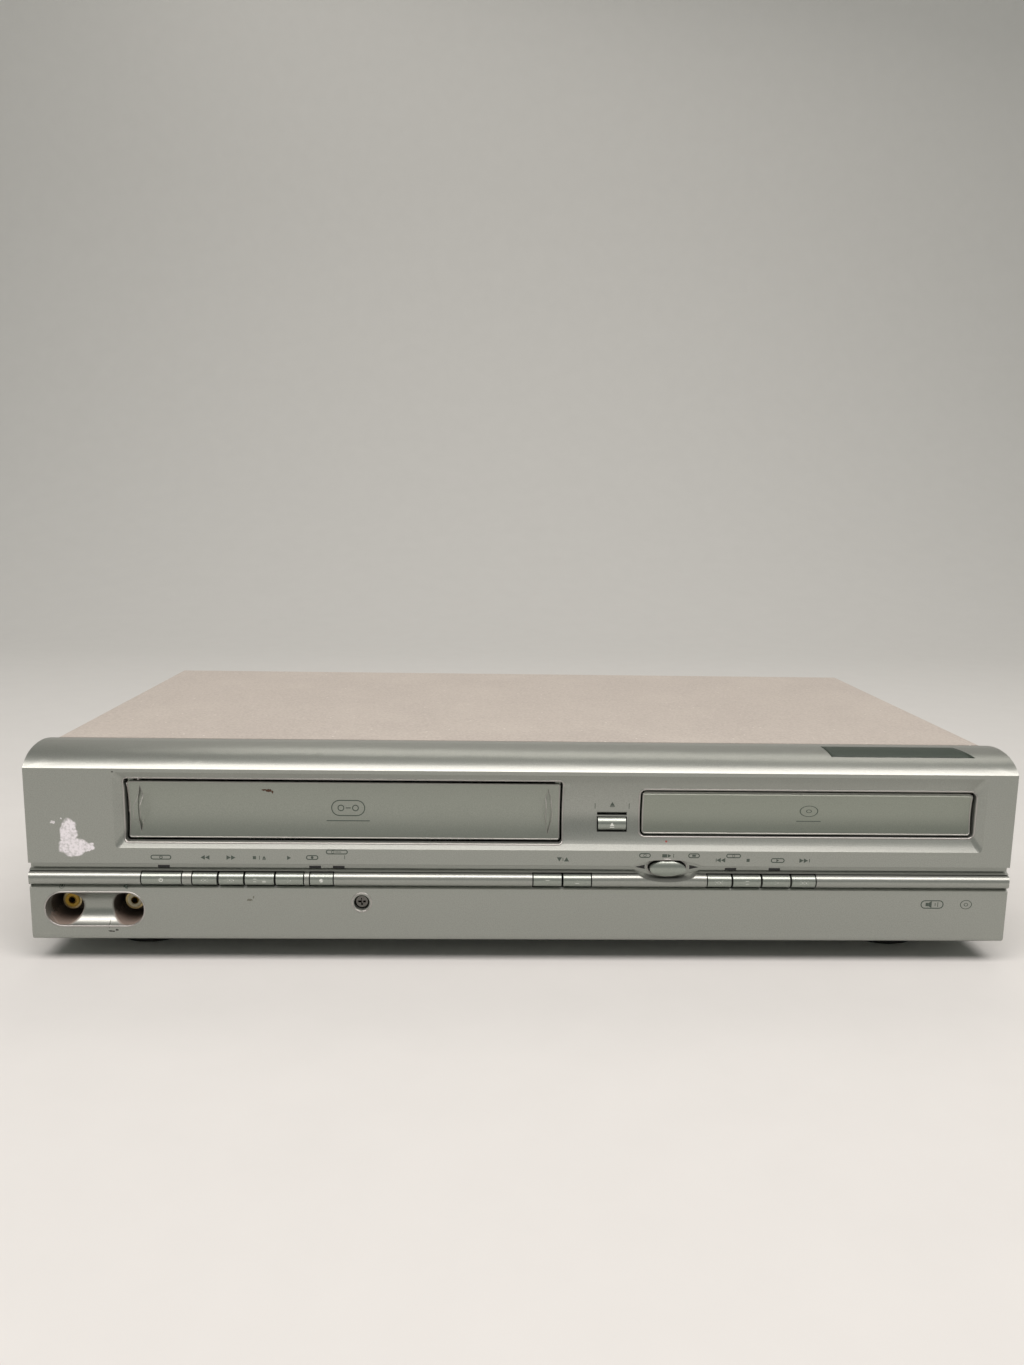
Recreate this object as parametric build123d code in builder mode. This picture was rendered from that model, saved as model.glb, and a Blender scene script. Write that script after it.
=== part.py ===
"""A disc and cassette combination player: case, panel with keys and doors, disc loader and tape deck.

Millimetres. +X runs to the right of someone facing the front, +Y to the back, +Z up.
The origin is on the table, at the middle of the player's footprint.
"""

import os
from math import cos, pi, radians, sin, sqrt

from build123d import *

os.makedirs("parts", exist_ok=True)


def save(piece, name):
    """Label a finished piece and write it as its own STEP file."""
    piece.part.label = name
    export_step(piece.part, f"parts/{name}.step")


# ---------------------------------------------------------------- driving dimensions
# Case
overall_depth = 238.0  # front of the key band to the tips of the rear sockets
panel_width = 435.0
cover_inset = 2.0  # the cover stands this far inside the panel, on each side
panel_return = 31.0  # how far the panel's top and sides run back
panel_wall = 2.5
floor_return = 14.0  # how far the panel's floor runs back
panel_corner = 3.0  # plan radius of the panel's front corners
foot_height = 10.4
foot_radius = 20.0
foot_side_inset = 42.5
foot_inset = 40.0  # foot centre behind the face, and in front of the rear panel
crease_z = 88.6  # sharp line where the face turns into the bullnose
crest_z = 96.2
crest_depth = 21.0
cover_top_z = 95.2
cover_bend = 2.5
steel = 0.8
socket_reach = 7.4  # sockets stand this far behind the rear panel
seat_gap = 0.3  # parts that are fitted together
slide_gap = 0.4  # parts that slide on each other
pin_gap = 0.05  # radial running clearance of pins and shafts

# Front panel features; depths are measured back from the flat face
band_z = 39.0
band_radius = 3.1
band_depth = 1.5  # axis of the half-round band
ledge_drop = 1.1
channel_depth = 2.6
channel_low_z = 43.4
channel_high_z = 45.0
channel_top_z = 46.0
scoop_left_inset = 37.9
scoop_right_inset = 13.3
scoop_low_z = 53.0
scoop_high_z = 87.0
scoop_depth = 5.5
scoop_end = 9.0  # width of the sloped ends
scoop_soften = 3.0

# Cassette flap
deck_inset = 137.5  # middle of the cassette flap, from the left end
flap_width = 189.4
flap_low_z = 56.4
flap_height = 25.6
flap_thickness = 2.2
flap_edge_depth = 4.4
flap_bow = 1.6
flap_gap = 0.9  # clear at the flap's ends and below it
flap_top_gap = 1.7
flap_pivot_depth = 6.8
flap_pivot_z = 84.6
flap_pin_radius = 1.2
flap_pin_length = 3.4
spring_wire = 0.25
spring_room = 4.2  # the pins stand this far out of their bosses
groove_inset = 5.2  # lens-shaped grooves near the flap's ends
groove_half_width = 1.5
groove_foot_gap = 2.2
groove_head_gap = 2.0
groove_mid_z = 69.2

# Disc tray
tray_inset = 91.9  # middle of the disc tray, from the right end
fascia_width = 148.6
fascia_low_z = 59.7
fascia_height = 19.2
fascia_thickness = 3.6
fascia_depth = 4.2
fascia_gap = 0.8
tray_width = 141.0
tray_length = 158.0
tray_top_z = 70.0
tray_thickness = 7.0
disc_recess_radius = 61.0
disc_recess_depth = 2.2
small_recess_radius = 41.0
small_recess_depth = 1.4
disc_centre_depth = 74.0
tray_window_width = 42.0

# Keys
key_gap = 0.45
key_step = 5.2  # where the key's shank meets its flange, behind the face
key_flange = 1.2
board_depth = 13.2
board_thickness = 1.6
switch_height = 4.2

# Front sockets and screw place
well_inset = 13.8  # first socket well, from the left end
well_pitch = 27.8
well_z = 24.8
well_radius = 7.6
well_floor = 19.0
phono_radius = 4.15
phono_tip_depth = 11.0
phono_shoulder = 0.2  # the barrel is this much thicker where it passes through a panel
phono_clear = 0.4
well_wall = 1.8
board_post_xs = (-171.0, -70.0, -20.0, 45.0, 136.0)
screw_x = -72.7
screw_z = 28.4
screw_head_radius = 3.3

# Loader and tape deck
gear_module = 1.0
rack_low_z = 59.4
tray_gear_teeth = 18
pinion_teeth = 12
belt_radius = 13.0
motor_pulley_radius = 4.0
turntable_radius = 15.0
rod_radius = 1.5
deck_z = 34.0  # top of the deck plate
deck_sheet = 1.2
drum_radius = 31.0
drum_tilt = 5.9
reel_spacing = 89.0
reel_radius = 19.0
cassette_width = 188.0
cassette_height = 25.0
bay_low_z = 55.8

# Swelling and key windows of the panel; x is measured from the middle of the player
trough_depth = 5.0
# Pointed swelling of the channel round the oval key, with sloped sides.
oval_x = 63.0
oval_z = 44.7
oval_half_width = 8.0
oval_half_height = 3.4
swell_half = 21.0
swell_top = 5.4
swell_bottom = 6.2
bottom_round = 2.6
# Keys along the band: name, left edge, right edge. The neighbours in one group share a thin gap.
band_keys = [
    ("key_power", -168.5, -151.4),
    ("key_rewind", -146.4, -135.9),
    ("key_forward", -134.9, -124.4),
    ("key_stop_eject", -123.5, -111.0),
    ("key_vcr_play", -110.1, -98.2),
    ("key_record", -95.1, -85.2),
    ("key_channel_down", 3.3, 15.7),
    ("key_channel_up", 16.6, 28.8),
    ("key_disc_skip_back", 81.0, 91.5),
    ("key_disc_stop", 92.4, 104.7),
    ("key_disc_play", 105.6, 117.9),
    ("key_disc_skip_on", 118.8, 129.3),
]
# The windows that the keys stand in: one per group.
key_windows = [(-168.5, -151.4), (-146.4, -98.2), (-95.1, -85.2), (3.3, 28.8), (81.0, 129.3)]
# Open/close key, in the scoop between the two doors
eject_x = 38.0
eject_width = 12.4
eject_low_z = 61.0
eject_high_z = 66.6
notch_high_z = 70.4
# LED windows in the channel's wall, and the two pointed ones beside the oval key
led_width = 5.2
led_height = 1.1
led_z = 43.9
led_xs = [-159.7, -93.4, -83.0, 91.8, 111.6]
arrow_left_x = 50.9
arrow_right_x = 75.3
arrow_half_width = 2.2
arrow_half_height = 1.0
lens_fit = 0.04

# Disc loader
rack_length = 154.0
loader_length = 159.0
loader_wall = 2.4
loader_base_z = 46.0
loader_base = 2.4
guide_reach = 3.0
pinion_bearing = 20.0  # degrees, from the tray gear to the pinion
axle_radius = 1.5
pulley_height = 3.6
window_half = 43.0
traverse_z = 50.0
traverse_thickness = 2.5
traverse_half = 40.0
rod_spacing = 42.0
rod_z = 56.0
motor_radius = 12.0
tabletop_z = 68.4
hub_radius = 7.0
bridge_z = 76.0
clamp_radius = 14.0
clamp_neck = 8.0
groove_depth = 1.2
groove_height = 1.8
shaft_radius = 1.0
motor_can_height = 14.0
loading_motor_radius = 9.0
belt_gap = 0.3
belt_thickness = 1.0
pickup_length = 24.0
pickup_half = 15.0
bridge_sheet = 1.2
bridge_width = 30.0

# Tape deck
deck_half = 98.5
deck_back_gap = 21.0  # from the deck plate to the rear panel
holder_length = 88.0
holder_sheet = 0.8
frame_sheet = 1.2
holder_pin_radius = 1.5
holder_pin_z = 69.0
holder_travel = 15.0
holder_ledge = 22.0
roof_ledge = 45.0
roof_window = 34.0
drum_base_height = 16.0
drum_lift = 8.0
capstan_radius = 1.5
bearing_radius = 4.0
bearing_length = 7.0
flywheel_radius = 24.0
pinch_radius = 6.5
pinch_low_z = 38.0
pinch_high_z = 52.0
pinch_arm_length = 22.0
pinch_open = 30.0  # degrees that the arm stands away from the capstan
peg_radius = 1.6
deck_post_inset = 10.0
upper_drum_height = 14.0

# Chassis, boards, screws and back
chassis_lip = 17.0
board_z = 18.0
disc_board_z = 26.0
main_board_width = 250.0
main_board_shift = 4.0  # its middle is this far left of the deck's
main_board_front_gap = 34.0
main_board_back_gap = 4.0
large_chip = 24.0
connector_length = 34.0
small_part = 12.0
small_capacitor_radius = 4.0
chip_height = 2.6
disc_board_y = -10.0
disc_board_width = 122.0
disc_board_length = 116.0
decoder_chip = 28.0
small_chip_length = 18.0
flat_chip_height = 1.8
power_board_inset = 83.5
power_board_back_gap = 27.6
power_board_width = 138.0
power_board_depth = 44.0
transformer_width = 34.0
transformer_depth = 30.0
transformer_height = 26.0
capacitor_radius = 8.0
capacitor_height = 22.0
sink_web = 3.0
sink_fin = 1.6
sink_fin_length = 12.0
sink_fin_pitch = 6.0
sink_fin_count = 5
sink_height = 30.0
post_radius = 3.0
board_posts = [(-60.0, 0.0), (-190.0, -60.0), (-190.0, 90.0), (36.0, 94.0), (36.0, -60.0)]
power_posts = [(78.0, 100.0), (190.0, 100.0)]
disc_board_posts = [(72.0, -60.0), (180.0, -60.0), (72.0, 40.0), (180.0, 40.0)]
# Screw places: on both sides of the cover (y, z) and along its rear flange (x, z)
screw_shank = 1.5
screw_head_height = 1.8
screw_seat_depth = 3.2  # the front screw's head sits this far behind the face
screw_crown = 0.7
crown_slope = 45.0
recess_length = 3.4
recess_width = 0.9
recess_depth = 1.3
recess_slope = 8.0
screw_reach = 6.0
screw_clear = 0.15
side_screws = [(-40.0, 18.0), (60.0, 18.0)]
vent_count = 13
vent_pitch = 9.0
back_vent_count = 14
back_vent_pitch = 8.0
back_vent_inset = 107.5
back_vent_z = 66.0
back_vent_length = 22.0
back_vent_width = 3.0
antenna_inset = 20.5
antenna_zs = (40.0, 62.0)
antenna_bore = 5.6
phono_groups = [
    # first column's x, columns, first row's z, rows
    (-150.0, 3, 36.0, 2),
    (-60.0, 5, 36.0, 2),
]
phono_pitch_x = 16.0
phono_pitch_z = 20.0
video_x = 32.0
video_z = 46.0
cord_inset = 27.5
cord_z = 30.0
cord_bore = 6.0
f_radius = 4.7

# Front board
board_low_z = 35.2
board_top_z = 47.6
board_left_x = -173.0
board_right_x = 138.0

# ---------------------------------------------------------------- derived places
face_y = -overall_depth / 2 + band_radius - band_depth
rear_y = overall_depth / 2 - socket_reach
cover_width = panel_width - 2 * cover_inset
foot_x = panel_width / 2 - foot_side_inset
scoop_left_x = -panel_width / 2 + scoop_left_inset
scoop_right_x = panel_width / 2 - scoop_right_inset
deck_x = -panel_width / 2 + deck_inset
tray_x = panel_width / 2 - tray_inset
well_left_x = -panel_width / 2 + well_inset
well_right_x = well_left_x + well_pitch
scoop_half = (scoop_high_z - scoop_low_z) / 2
scoop_mid_z = (scoop_high_z + scoop_low_z) / 2
scoop_radius = (scoop_half**2 + scoop_depth**2) / (2 * scoop_depth)
scoop_axis_depth = scoop_depth - scoop_radius
pin_y = face_y + flap_pivot_depth


def behind(depth):
    """The upright plane at a depth behind the face, looking out of the player's front."""
    return Plane.XZ.offset(-face_y - depth)


def side(x):
    """The upright plane across the player at x, with local axes +Y and +Z."""
    return Plane.YZ.offset(x)


def level(z):
    return Plane.XY.offset(z)


# ---------------------------------------------------------------- front panel
# The scoop is a trough of one large radius with sloped ends, cut into the face.
with BuildPart() as scoop:
    with BuildSketch(side(scoop_left_x)):
        with Locations((face_y + scoop_axis_depth, scoop_mid_z)):
            Circle(scoop_radius)
    extrude(amount=scoop_right_x - scoop_left_x)
    with BuildSketch(level(scoop_low_z)):
        with BuildLine():
            Polyline(
                (scoop_left_x, face_y - scoop_radius),
                (scoop_right_x, face_y - scoop_radius),
                (scoop_right_x, face_y),
                (scoop_right_x - scoop_end, face_y + scoop_depth + panel_wall),
                (scoop_left_x + scoop_end, face_y + scoop_depth + panel_wall),
                (scoop_left_x, face_y),
                close=True,
            )
        make_face()
    extrude(amount=scoop_high_z - scoop_low_z, mode=Mode.INTERSECT)
    scoop_floor = scoop.faces().filter_by(GeomType.CYLINDER).sort_by(SortBy.AREA)[-1]
    fillet(
        [e for e in scoop_floor.edges() if e not in scoop.edges().filter_by(Axis.X)],
        radius=scoop_soften,
    )

# The same trough, one wall thicker, backs the scoop inside the panel.
with BuildPart() as scoop_backing:
    with BuildSketch(side(scoop_left_x - panel_wall)):
        with Locations((face_y + scoop_axis_depth, scoop_mid_z)):
            Circle(scoop_radius + panel_wall)
    extrude(amount=scoop_right_x - scoop_left_x + 2 * panel_wall)
    with BuildSketch(side(scoop_left_x - panel_wall)):
        with Locations((face_y + panel_wall / 2, scoop_mid_z)):
            Rectangle(scoop_depth * 4, crease_z - channel_top_z, align=(Align.MIN, Align.CENTER))
    extrude(amount=scoop_right_x - scoop_left_x + 2 * panel_wall, mode=Mode.INTERSECT)

# Front socket recess: two deep round wells joined by a shallow trough with rounded ends.
trough_radius = (well_radius**2 + trough_depth**2) / (2 * trough_depth)
with BuildPart() as socket_recess:
    with BuildSketch(behind(-trough_depth)):
        with Locations(((well_left_x + well_right_x) / 2, well_z)):
            SlotCenterToCenter(well_right_x - well_left_x, 2 * well_radius)
    extrude(amount=-2 * trough_depth - panel_wall)
    with BuildSketch(side(well_left_x - well_radius)):
        with Locations((face_y + trough_depth - trough_radius, well_z)):
            Circle(trough_radius)
    extrude(amount=well_right_x - well_left_x + 2 * well_radius, mode=Mode.INTERSECT)

with BuildPart() as oval_swell:
    with BuildSketch(behind(-band_radius)):
        with BuildLine():
            ThreePointArc(
                (oval_x - swell_half, oval_z), (oval_x, oval_z + swell_top), (oval_x + swell_half, oval_z)
            )
            ThreePointArc(
                (oval_x + swell_half, oval_z), (oval_x, oval_z - swell_bottom), (oval_x - swell_half, oval_z)
            )
        make_face()
    extrude(amount=-channel_depth - band_radius, taper=18)

band_low_z = band_z - band_radius
band_high_z = band_z + band_radius
inner_step = channel_depth + panel_wall
inner_floor_z = foot_height + panel_wall
inner_top_z = cover_top_z - panel_wall


with BuildPart() as front_panel:
    # Side profile: rounded foot, lower face, ledge, half-round band, channel, face and bullnose
    with BuildSketch(side(-panel_width / 2)):
        with BuildLine():
            Line((face_y + panel_return, foot_height), (face_y + bottom_round, foot_height))
            JernArc((face_y + bottom_round, foot_height), (-1, 0), bottom_round, -90)
            Polyline(
                (face_y, foot_height + bottom_round),
                (face_y, band_low_z - ledge_drop),
                (face_y + band_depth, band_low_z),
            )
            ThreePointArc(
                (face_y + band_depth, band_low_z),
                (face_y + band_depth - band_radius, band_z),
                (face_y + band_depth, band_high_z),
            )
            Polyline(
                (face_y + band_depth, band_high_z),
                (face_y + 0.5, band_high_z + 0.4),
                (face_y + channel_depth, channel_low_z),
                (face_y + channel_depth, channel_high_z),
            )
            RadiusArc((face_y + channel_depth, channel_high_z), (face_y, channel_top_z), -3.0)
            Line((face_y, channel_top_z), (face_y, crease_z))
            Bezier(
                (face_y, crease_z),
                (face_y + 5.0, crest_z - 1.4),
                (face_y + 13.5, crest_z),
                (face_y + crest_depth, crest_z),
            )
            TangentArc(
                (face_y + crest_depth, crest_z),
                (face_y + panel_return, cover_top_z - 0.1),
                tangent=(1, 0),
            )
            Line((face_y + panel_return, cover_top_z - 0.1), (face_y + panel_return, foot_height))
        make_face()
    extrude(amount=panel_width)
    # Rounded corners, seen from above
    with BuildSketch(level(foot_height)):
        with Locations((0, face_y - band_radius)):
            RectangleRounded(
                panel_width,
                2 * panel_return + 2 * band_radius,
                panel_corner,
                align=(Align.CENTER, Align.MIN),
            )
    extrude(amount=crest_z, mode=Mode.INTERSECT)
    # Hollow, open to the back
    with BuildSketch(side(-panel_width / 2 + panel_wall)):
        with BuildLine():
            Polyline(
                (face_y + panel_return, inner_floor_z),
                (face_y + panel_wall, inner_floor_z),
                (face_y + panel_wall, band_low_z - inner_step / 2),
                (face_y + inner_step, band_low_z - 0.5),
                (face_y + inner_step, channel_top_z + 0.5),
                (face_y + panel_wall, channel_top_z + inner_step / 2 + 0.5),
                (face_y + panel_wall, crease_z - 1.0),
            )
            Bezier(
                (face_y + panel_wall, crease_z - 1.0),
                (face_y + 6.0, inner_top_z - 1.4),
                (face_y + 13.5, inner_top_z),
                (face_y + panel_return, inner_top_z),
            )
            Line((face_y + panel_return, inner_top_z), (face_y + panel_return, inner_floor_z))
        make_face()
    extrude(amount=panel_width - 2 * panel_wall, mode=Mode.SUBTRACT)
    add(scoop_backing.part)
    add(scoop.part, mode=Mode.SUBTRACT)
    add(oval_swell.part, mode=Mode.SUBTRACT)
    # Bosses for the flap's pins, behind the scoop on either side of the flap
    flap_half = flap_width / 2
    boss_start = flap_half + flap_gap
    for hand in (-1, 1):
        with BuildSketch(side(deck_x + hand * boss_start)):
            with BuildLine():
                Polyline(
                    (face_y + panel_wall, flap_pivot_z - 4.0),
                    (pin_y, flap_pivot_z - 4.0),
                    (pin_y + 3.2, flap_pivot_z - 1.0),
                    (pin_y + 3.2, flap_pivot_z + 2.4),
                    (face_y + panel_wall, flap_pivot_z + 2.4),
                    close=True,
                )
            make_face()
        extrude(amount=hand * flap_pin_length)
    with BuildSketch(side(deck_x - boss_start - flap_pin_length)):
        with Locations((pin_y, flap_pivot_z)):
            Circle(flap_pin_radius + pin_gap)
    extrude(amount=2 * (boss_start + flap_pin_length), mode=Mode.SUBTRACT)
    # Cassette opening and tray opening
    with BuildSketch(behind(-1)):
        with Locations((deck_x, flap_low_z - flap_gap)):
            RectangleRounded(
                flap_width + 2 * flap_gap,
                flap_height + flap_gap + flap_top_gap,
                1.6,
                align=(Align.CENTER, Align.MIN),
            )
        with Locations((tray_x, fascia_low_z - fascia_gap)):
            RectangleRounded(
                fascia_width + 2 * fascia_gap,
                fascia_height + 2 * fascia_gap,
                2.2,
                align=(Align.CENTER, Align.MIN),
            )
    extrude(amount=-panel_return, mode=Mode.SUBTRACT)
    # Windows for the keys on the band
    for left, right in key_windows:
        with BuildSketch(behind(-band_radius)):
            with Locations(((left + right) / 2, band_z)):
                Rectangle(right - left + 2 * key_gap, 2 * band_radius + 0.3)
        extrude(amount=-panel_return / 2, mode=Mode.SUBTRACT)
    with BuildSketch(behind(-1)):
        with Locations((eject_x, (eject_low_z + eject_high_z) / 2)):
            Rectangle(eject_width + 2 * key_gap, eject_high_z - eject_low_z + 2 * key_gap)
        with Locations((oval_x, oval_z)):
            Ellipse(oval_half_width + key_gap, oval_half_height + key_gap)
    extrude(amount=-panel_return / 2, mode=Mode.SUBTRACT)
    # Finger notch above the open/close key
    with BuildSketch(side(eject_x - eject_width / 2 - key_gap)):
        with BuildLine():
            Polyline(
                (face_y + scoop_depth - 1.5, notch_high_z),
                (face_y + scoop_depth + 1.6, eject_high_z + 1.3),
                (face_y + scoop_depth - 1.5, eject_high_z + 0.9),
                close=True,
            )
        make_face()
    extrude(amount=eject_width + 2 * key_gap, mode=Mode.SUBTRACT)
    # LED windows
    with BuildSketch(behind(0)):
        for led_x in led_xs:
            with Locations((led_x, led_z)):
                Rectangle(led_width, led_height)
        for arrow_x, point in ((arrow_left_x, 180), (arrow_right_x, 0)):
            with Locations(Location((arrow_x, oval_z, 0), point)):
                Polygon(
                    (-arrow_half_width, -arrow_half_height),
                    (arrow_half_width, 0),
                    (-arrow_half_width, arrow_half_height),
                    align=None,
                )
    extrude(amount=-panel_return / 2, mode=Mode.SUBTRACT)
    # Socket recess: a closed back behind the trough, then the trough and its wells
    with BuildSketch(behind(panel_wall)):
        with Locations(((well_left_x + well_right_x) / 2, well_z)):
            SlotCenterToCenter(well_right_x - well_left_x, 2 * well_radius + 3.0)
    extrude(amount=-trough_depth)
    with BuildSketch(behind(panel_wall)):
        with Locations((well_left_x, well_z), (well_right_x, well_z)):
            Circle(well_radius + well_wall)
    extrude(amount=panel_wall - well_floor - 2)
    add(socket_recess.part, mode=Mode.SUBTRACT)
    with BuildSketch(behind(-1)):
        with Locations((well_left_x, well_z), (well_right_x, well_z)):
            Circle(well_radius - 0.2)
    extrude(amount=-well_floor - 1, mode=Mode.SUBTRACT)
    with BuildSketch(behind(-1)):
        with Locations((well_left_x, well_z), (well_right_x, well_z)):
            Circle(phono_radius + phono_clear)
    extrude(amount=-well_floor - 4, mode=Mode.SUBTRACT)
    # Posts that carry the front board, beside the keys
    with BuildSketch(behind(inner_step - 1.0)):
        for post_x in board_post_xs:
            with Locations((post_x, channel_top_z)):
                Circle(1.5)
    extrude(amount=inner_step - 1.0 - board_depth)
    # The floor stops short, to let the chassis in between the side walls
    with BuildSketch(level(foot_height)):
        with Locations((0, face_y + floor_return)):
            Rectangle(panel_width - 2 * panel_wall, panel_return, align=(Align.CENTER, Align.MIN))
    extrude(amount=panel_wall, mode=Mode.SUBTRACT)
    # Screw post with its counterbore
    with BuildSketch(behind(panel_wall)):
        with Locations((screw_x, screw_z)):
            Circle(screw_head_radius + 2.2)
    extrude(amount=panel_wall - board_depth)
    with BuildSketch(behind(0)):
        with Locations((screw_x, screw_z)):
            Circle(screw_head_radius + 0.2)
    extrude(amount=-screw_seat_depth, mode=Mode.SUBTRACT)
    with BuildSketch(behind(0)):
        with Locations((screw_x, screw_z)):
            Circle(1.7)
    extrude(amount=-board_depth, mode=Mode.SUBTRACT)

save(front_panel, "front_panel")

# ---------------------------------------------------------------- keys
# Each key on the band is a short piece of the same half round, with a flange that stops it
# falling forwards and a shank that ends just off its switch.
switch_face = board_depth - switch_height
shank_end = switch_face - 0.8
for name, left, right in band_keys:
    with BuildPart() as band_key:
        with BuildSketch(side(left)):
            with BuildLine():
                ThreePointArc(
                    (face_y + band_depth, band_z - band_radius + 0.15),
                    (face_y + band_depth - band_radius, band_z),
                    (face_y + band_depth, band_z + band_radius - 0.15),
                )
                Line(
                    (face_y + band_depth, band_z + band_radius - 0.15),
                    (face_y + band_depth, band_z - band_radius + 0.15),
                )
            make_face()
            with Locations((face_y + band_depth, band_z)):
                Rectangle(
                    key_step + key_flange + 0.6 - band_depth,
                    2 * band_radius - 0.3,
                    align=(Align.MIN, Align.CENTER),
                )
        extrude(amount=right - left)
        with BuildSketch(behind(key_step + 0.6)):
            with Locations(((left + right) / 2, band_z)):
                Rectangle(right - left, 2 * band_radius + 2.4)
        extrude(amount=-key_flange)
        with BuildSketch(behind(key_step + key_flange + 0.6)):
            with Locations(((left + right) / 2, band_z)):
                Rectangle(3.0, 4.0)
        extrude(amount=key_step + key_flange + 0.6 - shank_end)
    save(band_key, name)

# The oval key has a domed face.
with BuildPart() as oval_key:
    with BuildSketch(behind(key_step + 0.6)):
        with Locations((oval_x, oval_z)):
            Ellipse(oval_half_width, oval_half_height)
    extrude(amount=key_step + 0.6 + 1.0)
    with BuildSketch(side(oval_x - oval_half_width)):
        with BuildLine():
            ThreePointArc(
                (face_y + 0.6, oval_z - oval_half_height),
                (face_y - 0.8, oval_z),
                (face_y + 0.6, oval_z + oval_half_height),
            )
            Polyline(
                (face_y + 0.6, oval_z + oval_half_height),
                (face_y + key_step + 1.0, oval_z + oval_half_height),
                (face_y + key_step + 1.0, oval_z - oval_half_height),
                (face_y + 0.6, oval_z - oval_half_height),
            )
        make_face()
    extrude(amount=2 * oval_half_width, mode=Mode.INTERSECT)
    with BuildSketch(behind(key_step + 0.6)):
        with Locations((oval_x, oval_z)):
            Ellipse(oval_half_width + 1.4, oval_half_height + 1.4)
    extrude(amount=-key_flange)
    with BuildSketch(behind(key_step + key_flange + 0.6)):
        with Locations((oval_x, oval_z)):
            Rectangle(3.0, 4.0)
    extrude(amount=key_step + key_flange + 0.6 - shank_end)
save(oval_key, "key_output")

# The open/close key is a crowned block, standing just proud of the scoop.
eject_mid_z = (eject_low_z + eject_high_z) / 2
eject_back = scoop_depth + panel_wall + 0.7
with BuildPart() as eject_key:
    with BuildSketch(side(eject_x - eject_width / 2)):
        with BuildLine():
            ThreePointArc(
                (face_y + 4.6, eject_low_z),
                (face_y + 3.5, eject_mid_z),
                (face_y + 5.2, eject_high_z),
            )
            Polyline(
                (face_y + 5.2, eject_high_z),
                (face_y + eject_back, eject_high_z),
                (face_y + eject_back, eject_low_z),
                (face_y + 4.6, eject_low_z),
            )
        make_face()
    extrude(amount=eject_width)
    with BuildSketch(behind(eject_back)):
        with Locations((eject_x, eject_mid_z)):
            Rectangle(eject_width + 2.4, eject_high_z - eject_low_z + 2.4)
    extrude(amount=-key_flange)
    with BuildSketch(behind(eject_back + key_flange)):
        with Locations((eject_x, eject_mid_z)):
            Rectangle(3.0, 3.0)
    extrude(amount=eject_back + key_flange - board_depth + 0.8)
save(eject_key, "key_open_close")

# Clear windows: a row of small bars and the two pointed ones, each the thickness of the wall
with BuildPart() as indicator_lenses:
    with BuildSketch(behind(channel_depth + 0.1)):
        for led_x in led_xs:
            with Locations((led_x, led_z)):
                Rectangle(led_width - 2 * lens_fit, led_height - 2 * lens_fit)
        for arrow_x, point in ((arrow_left_x, 180), (arrow_right_x, 0)):
            with Locations(Location((arrow_x, oval_z, 0), point)):
                Polygon(
                    (-arrow_half_width + lens_fit, -arrow_half_height + 2 * lens_fit),
                    (arrow_half_width - 3 * lens_fit, 0),
                    (-arrow_half_width + lens_fit, arrow_half_height - 2 * lens_fit),
                    align=None,
                )
    extrude(amount=-5.0)
save(indicator_lenses, "indicator_lenses")

# ---------------------------------------------------------------- cassette flap
# A bowed plate hung from two ears, whose pins turn in the panel's bosses.
flap_high_z = flap_low_z + flap_height
with BuildPart() as vhs_door:
    with BuildSketch(side(deck_x - flap_width / 2)):
        with BuildLine():
            front_curve = ThreePointArc(
                (face_y + flap_edge_depth, flap_low_z),
                (face_y + flap_edge_depth + flap_bow, (flap_low_z + flap_high_z) / 2),
                (face_y + flap_edge_depth, flap_high_z),
            )
            Line(
                (face_y + flap_edge_depth, flap_high_z),
                (face_y + flap_edge_depth + flap_thickness, flap_high_z),
            )
            ThreePointArc(
                (face_y + flap_edge_depth + flap_thickness, flap_high_z),
                (face_y + flap_edge_depth + flap_bow + flap_thickness, (flap_low_z + flap_high_z) / 2),
                (face_y + flap_edge_depth + flap_thickness, flap_low_z),
            )
            Line(
                (face_y + flap_edge_depth + flap_thickness, flap_low_z),
                (face_y + flap_edge_depth, flap_low_z),
            )
        make_face()
    extrude(amount=flap_width)
    # Rounded corners
    corner_edges = vhs_door.edges().filter_by(Axis.Y).filter_by(GeomType.LINE)
    fillet(corner_edges, radius=1.0)
    # Lens-shaped grooves near each end
    for hand in (-1, 1):
        groove_x = deck_x + hand * (flap_width / 2 - groove_inset)
        groove_foot = (groove_x, flap_low_z + groove_foot_gap)
        groove_head = (groove_x, flap_high_z - groove_head_gap)
        with BuildSketch(behind(flap_edge_depth - 1.0)):
            with BuildLine():
                ThreePointArc(groove_foot, (groove_x - groove_half_width, groove_mid_z), groove_head)
                ThreePointArc(groove_head, (groove_x + groove_half_width, groove_mid_z), groove_foot)
            make_face()
        extrude(amount=-flap_bow - 1.7, mode=Mode.SUBTRACT)
    # Ears and pins
    for hand in (-1, 1):
        ear_x = deck_x + hand * flap_width / 2
        with BuildSketch(side(ear_x)):
            with BuildLine():
                Polyline(
                    (face_y + flap_edge_depth + 1.4, flap_high_z - 1.2),
                    (pin_y - 1.0, flap_pivot_z - 1.4),
                    (pin_y - 1.0, flap_pivot_z),
                    (pin_y + 1.8, flap_pivot_z),
                    (pin_y + 1.8, flap_high_z - 4.0),
                    (face_y + flap_edge_depth + 1.4, flap_high_z - 6.0),
                    close=True,
                )
            make_face()
            with Locations((pin_y, flap_pivot_z)):
                Circle(1.8)
        extrude(amount=-hand * 2.2)
        with BuildSketch(side(ear_x - hand * 0.5)):
            with Locations((pin_y, flap_pivot_z)):
                Circle(flap_pin_radius)
        extrude(amount=hand * (flap_gap + flap_pin_length + spring_room))
save(vhs_door, "vhs_door")

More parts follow.
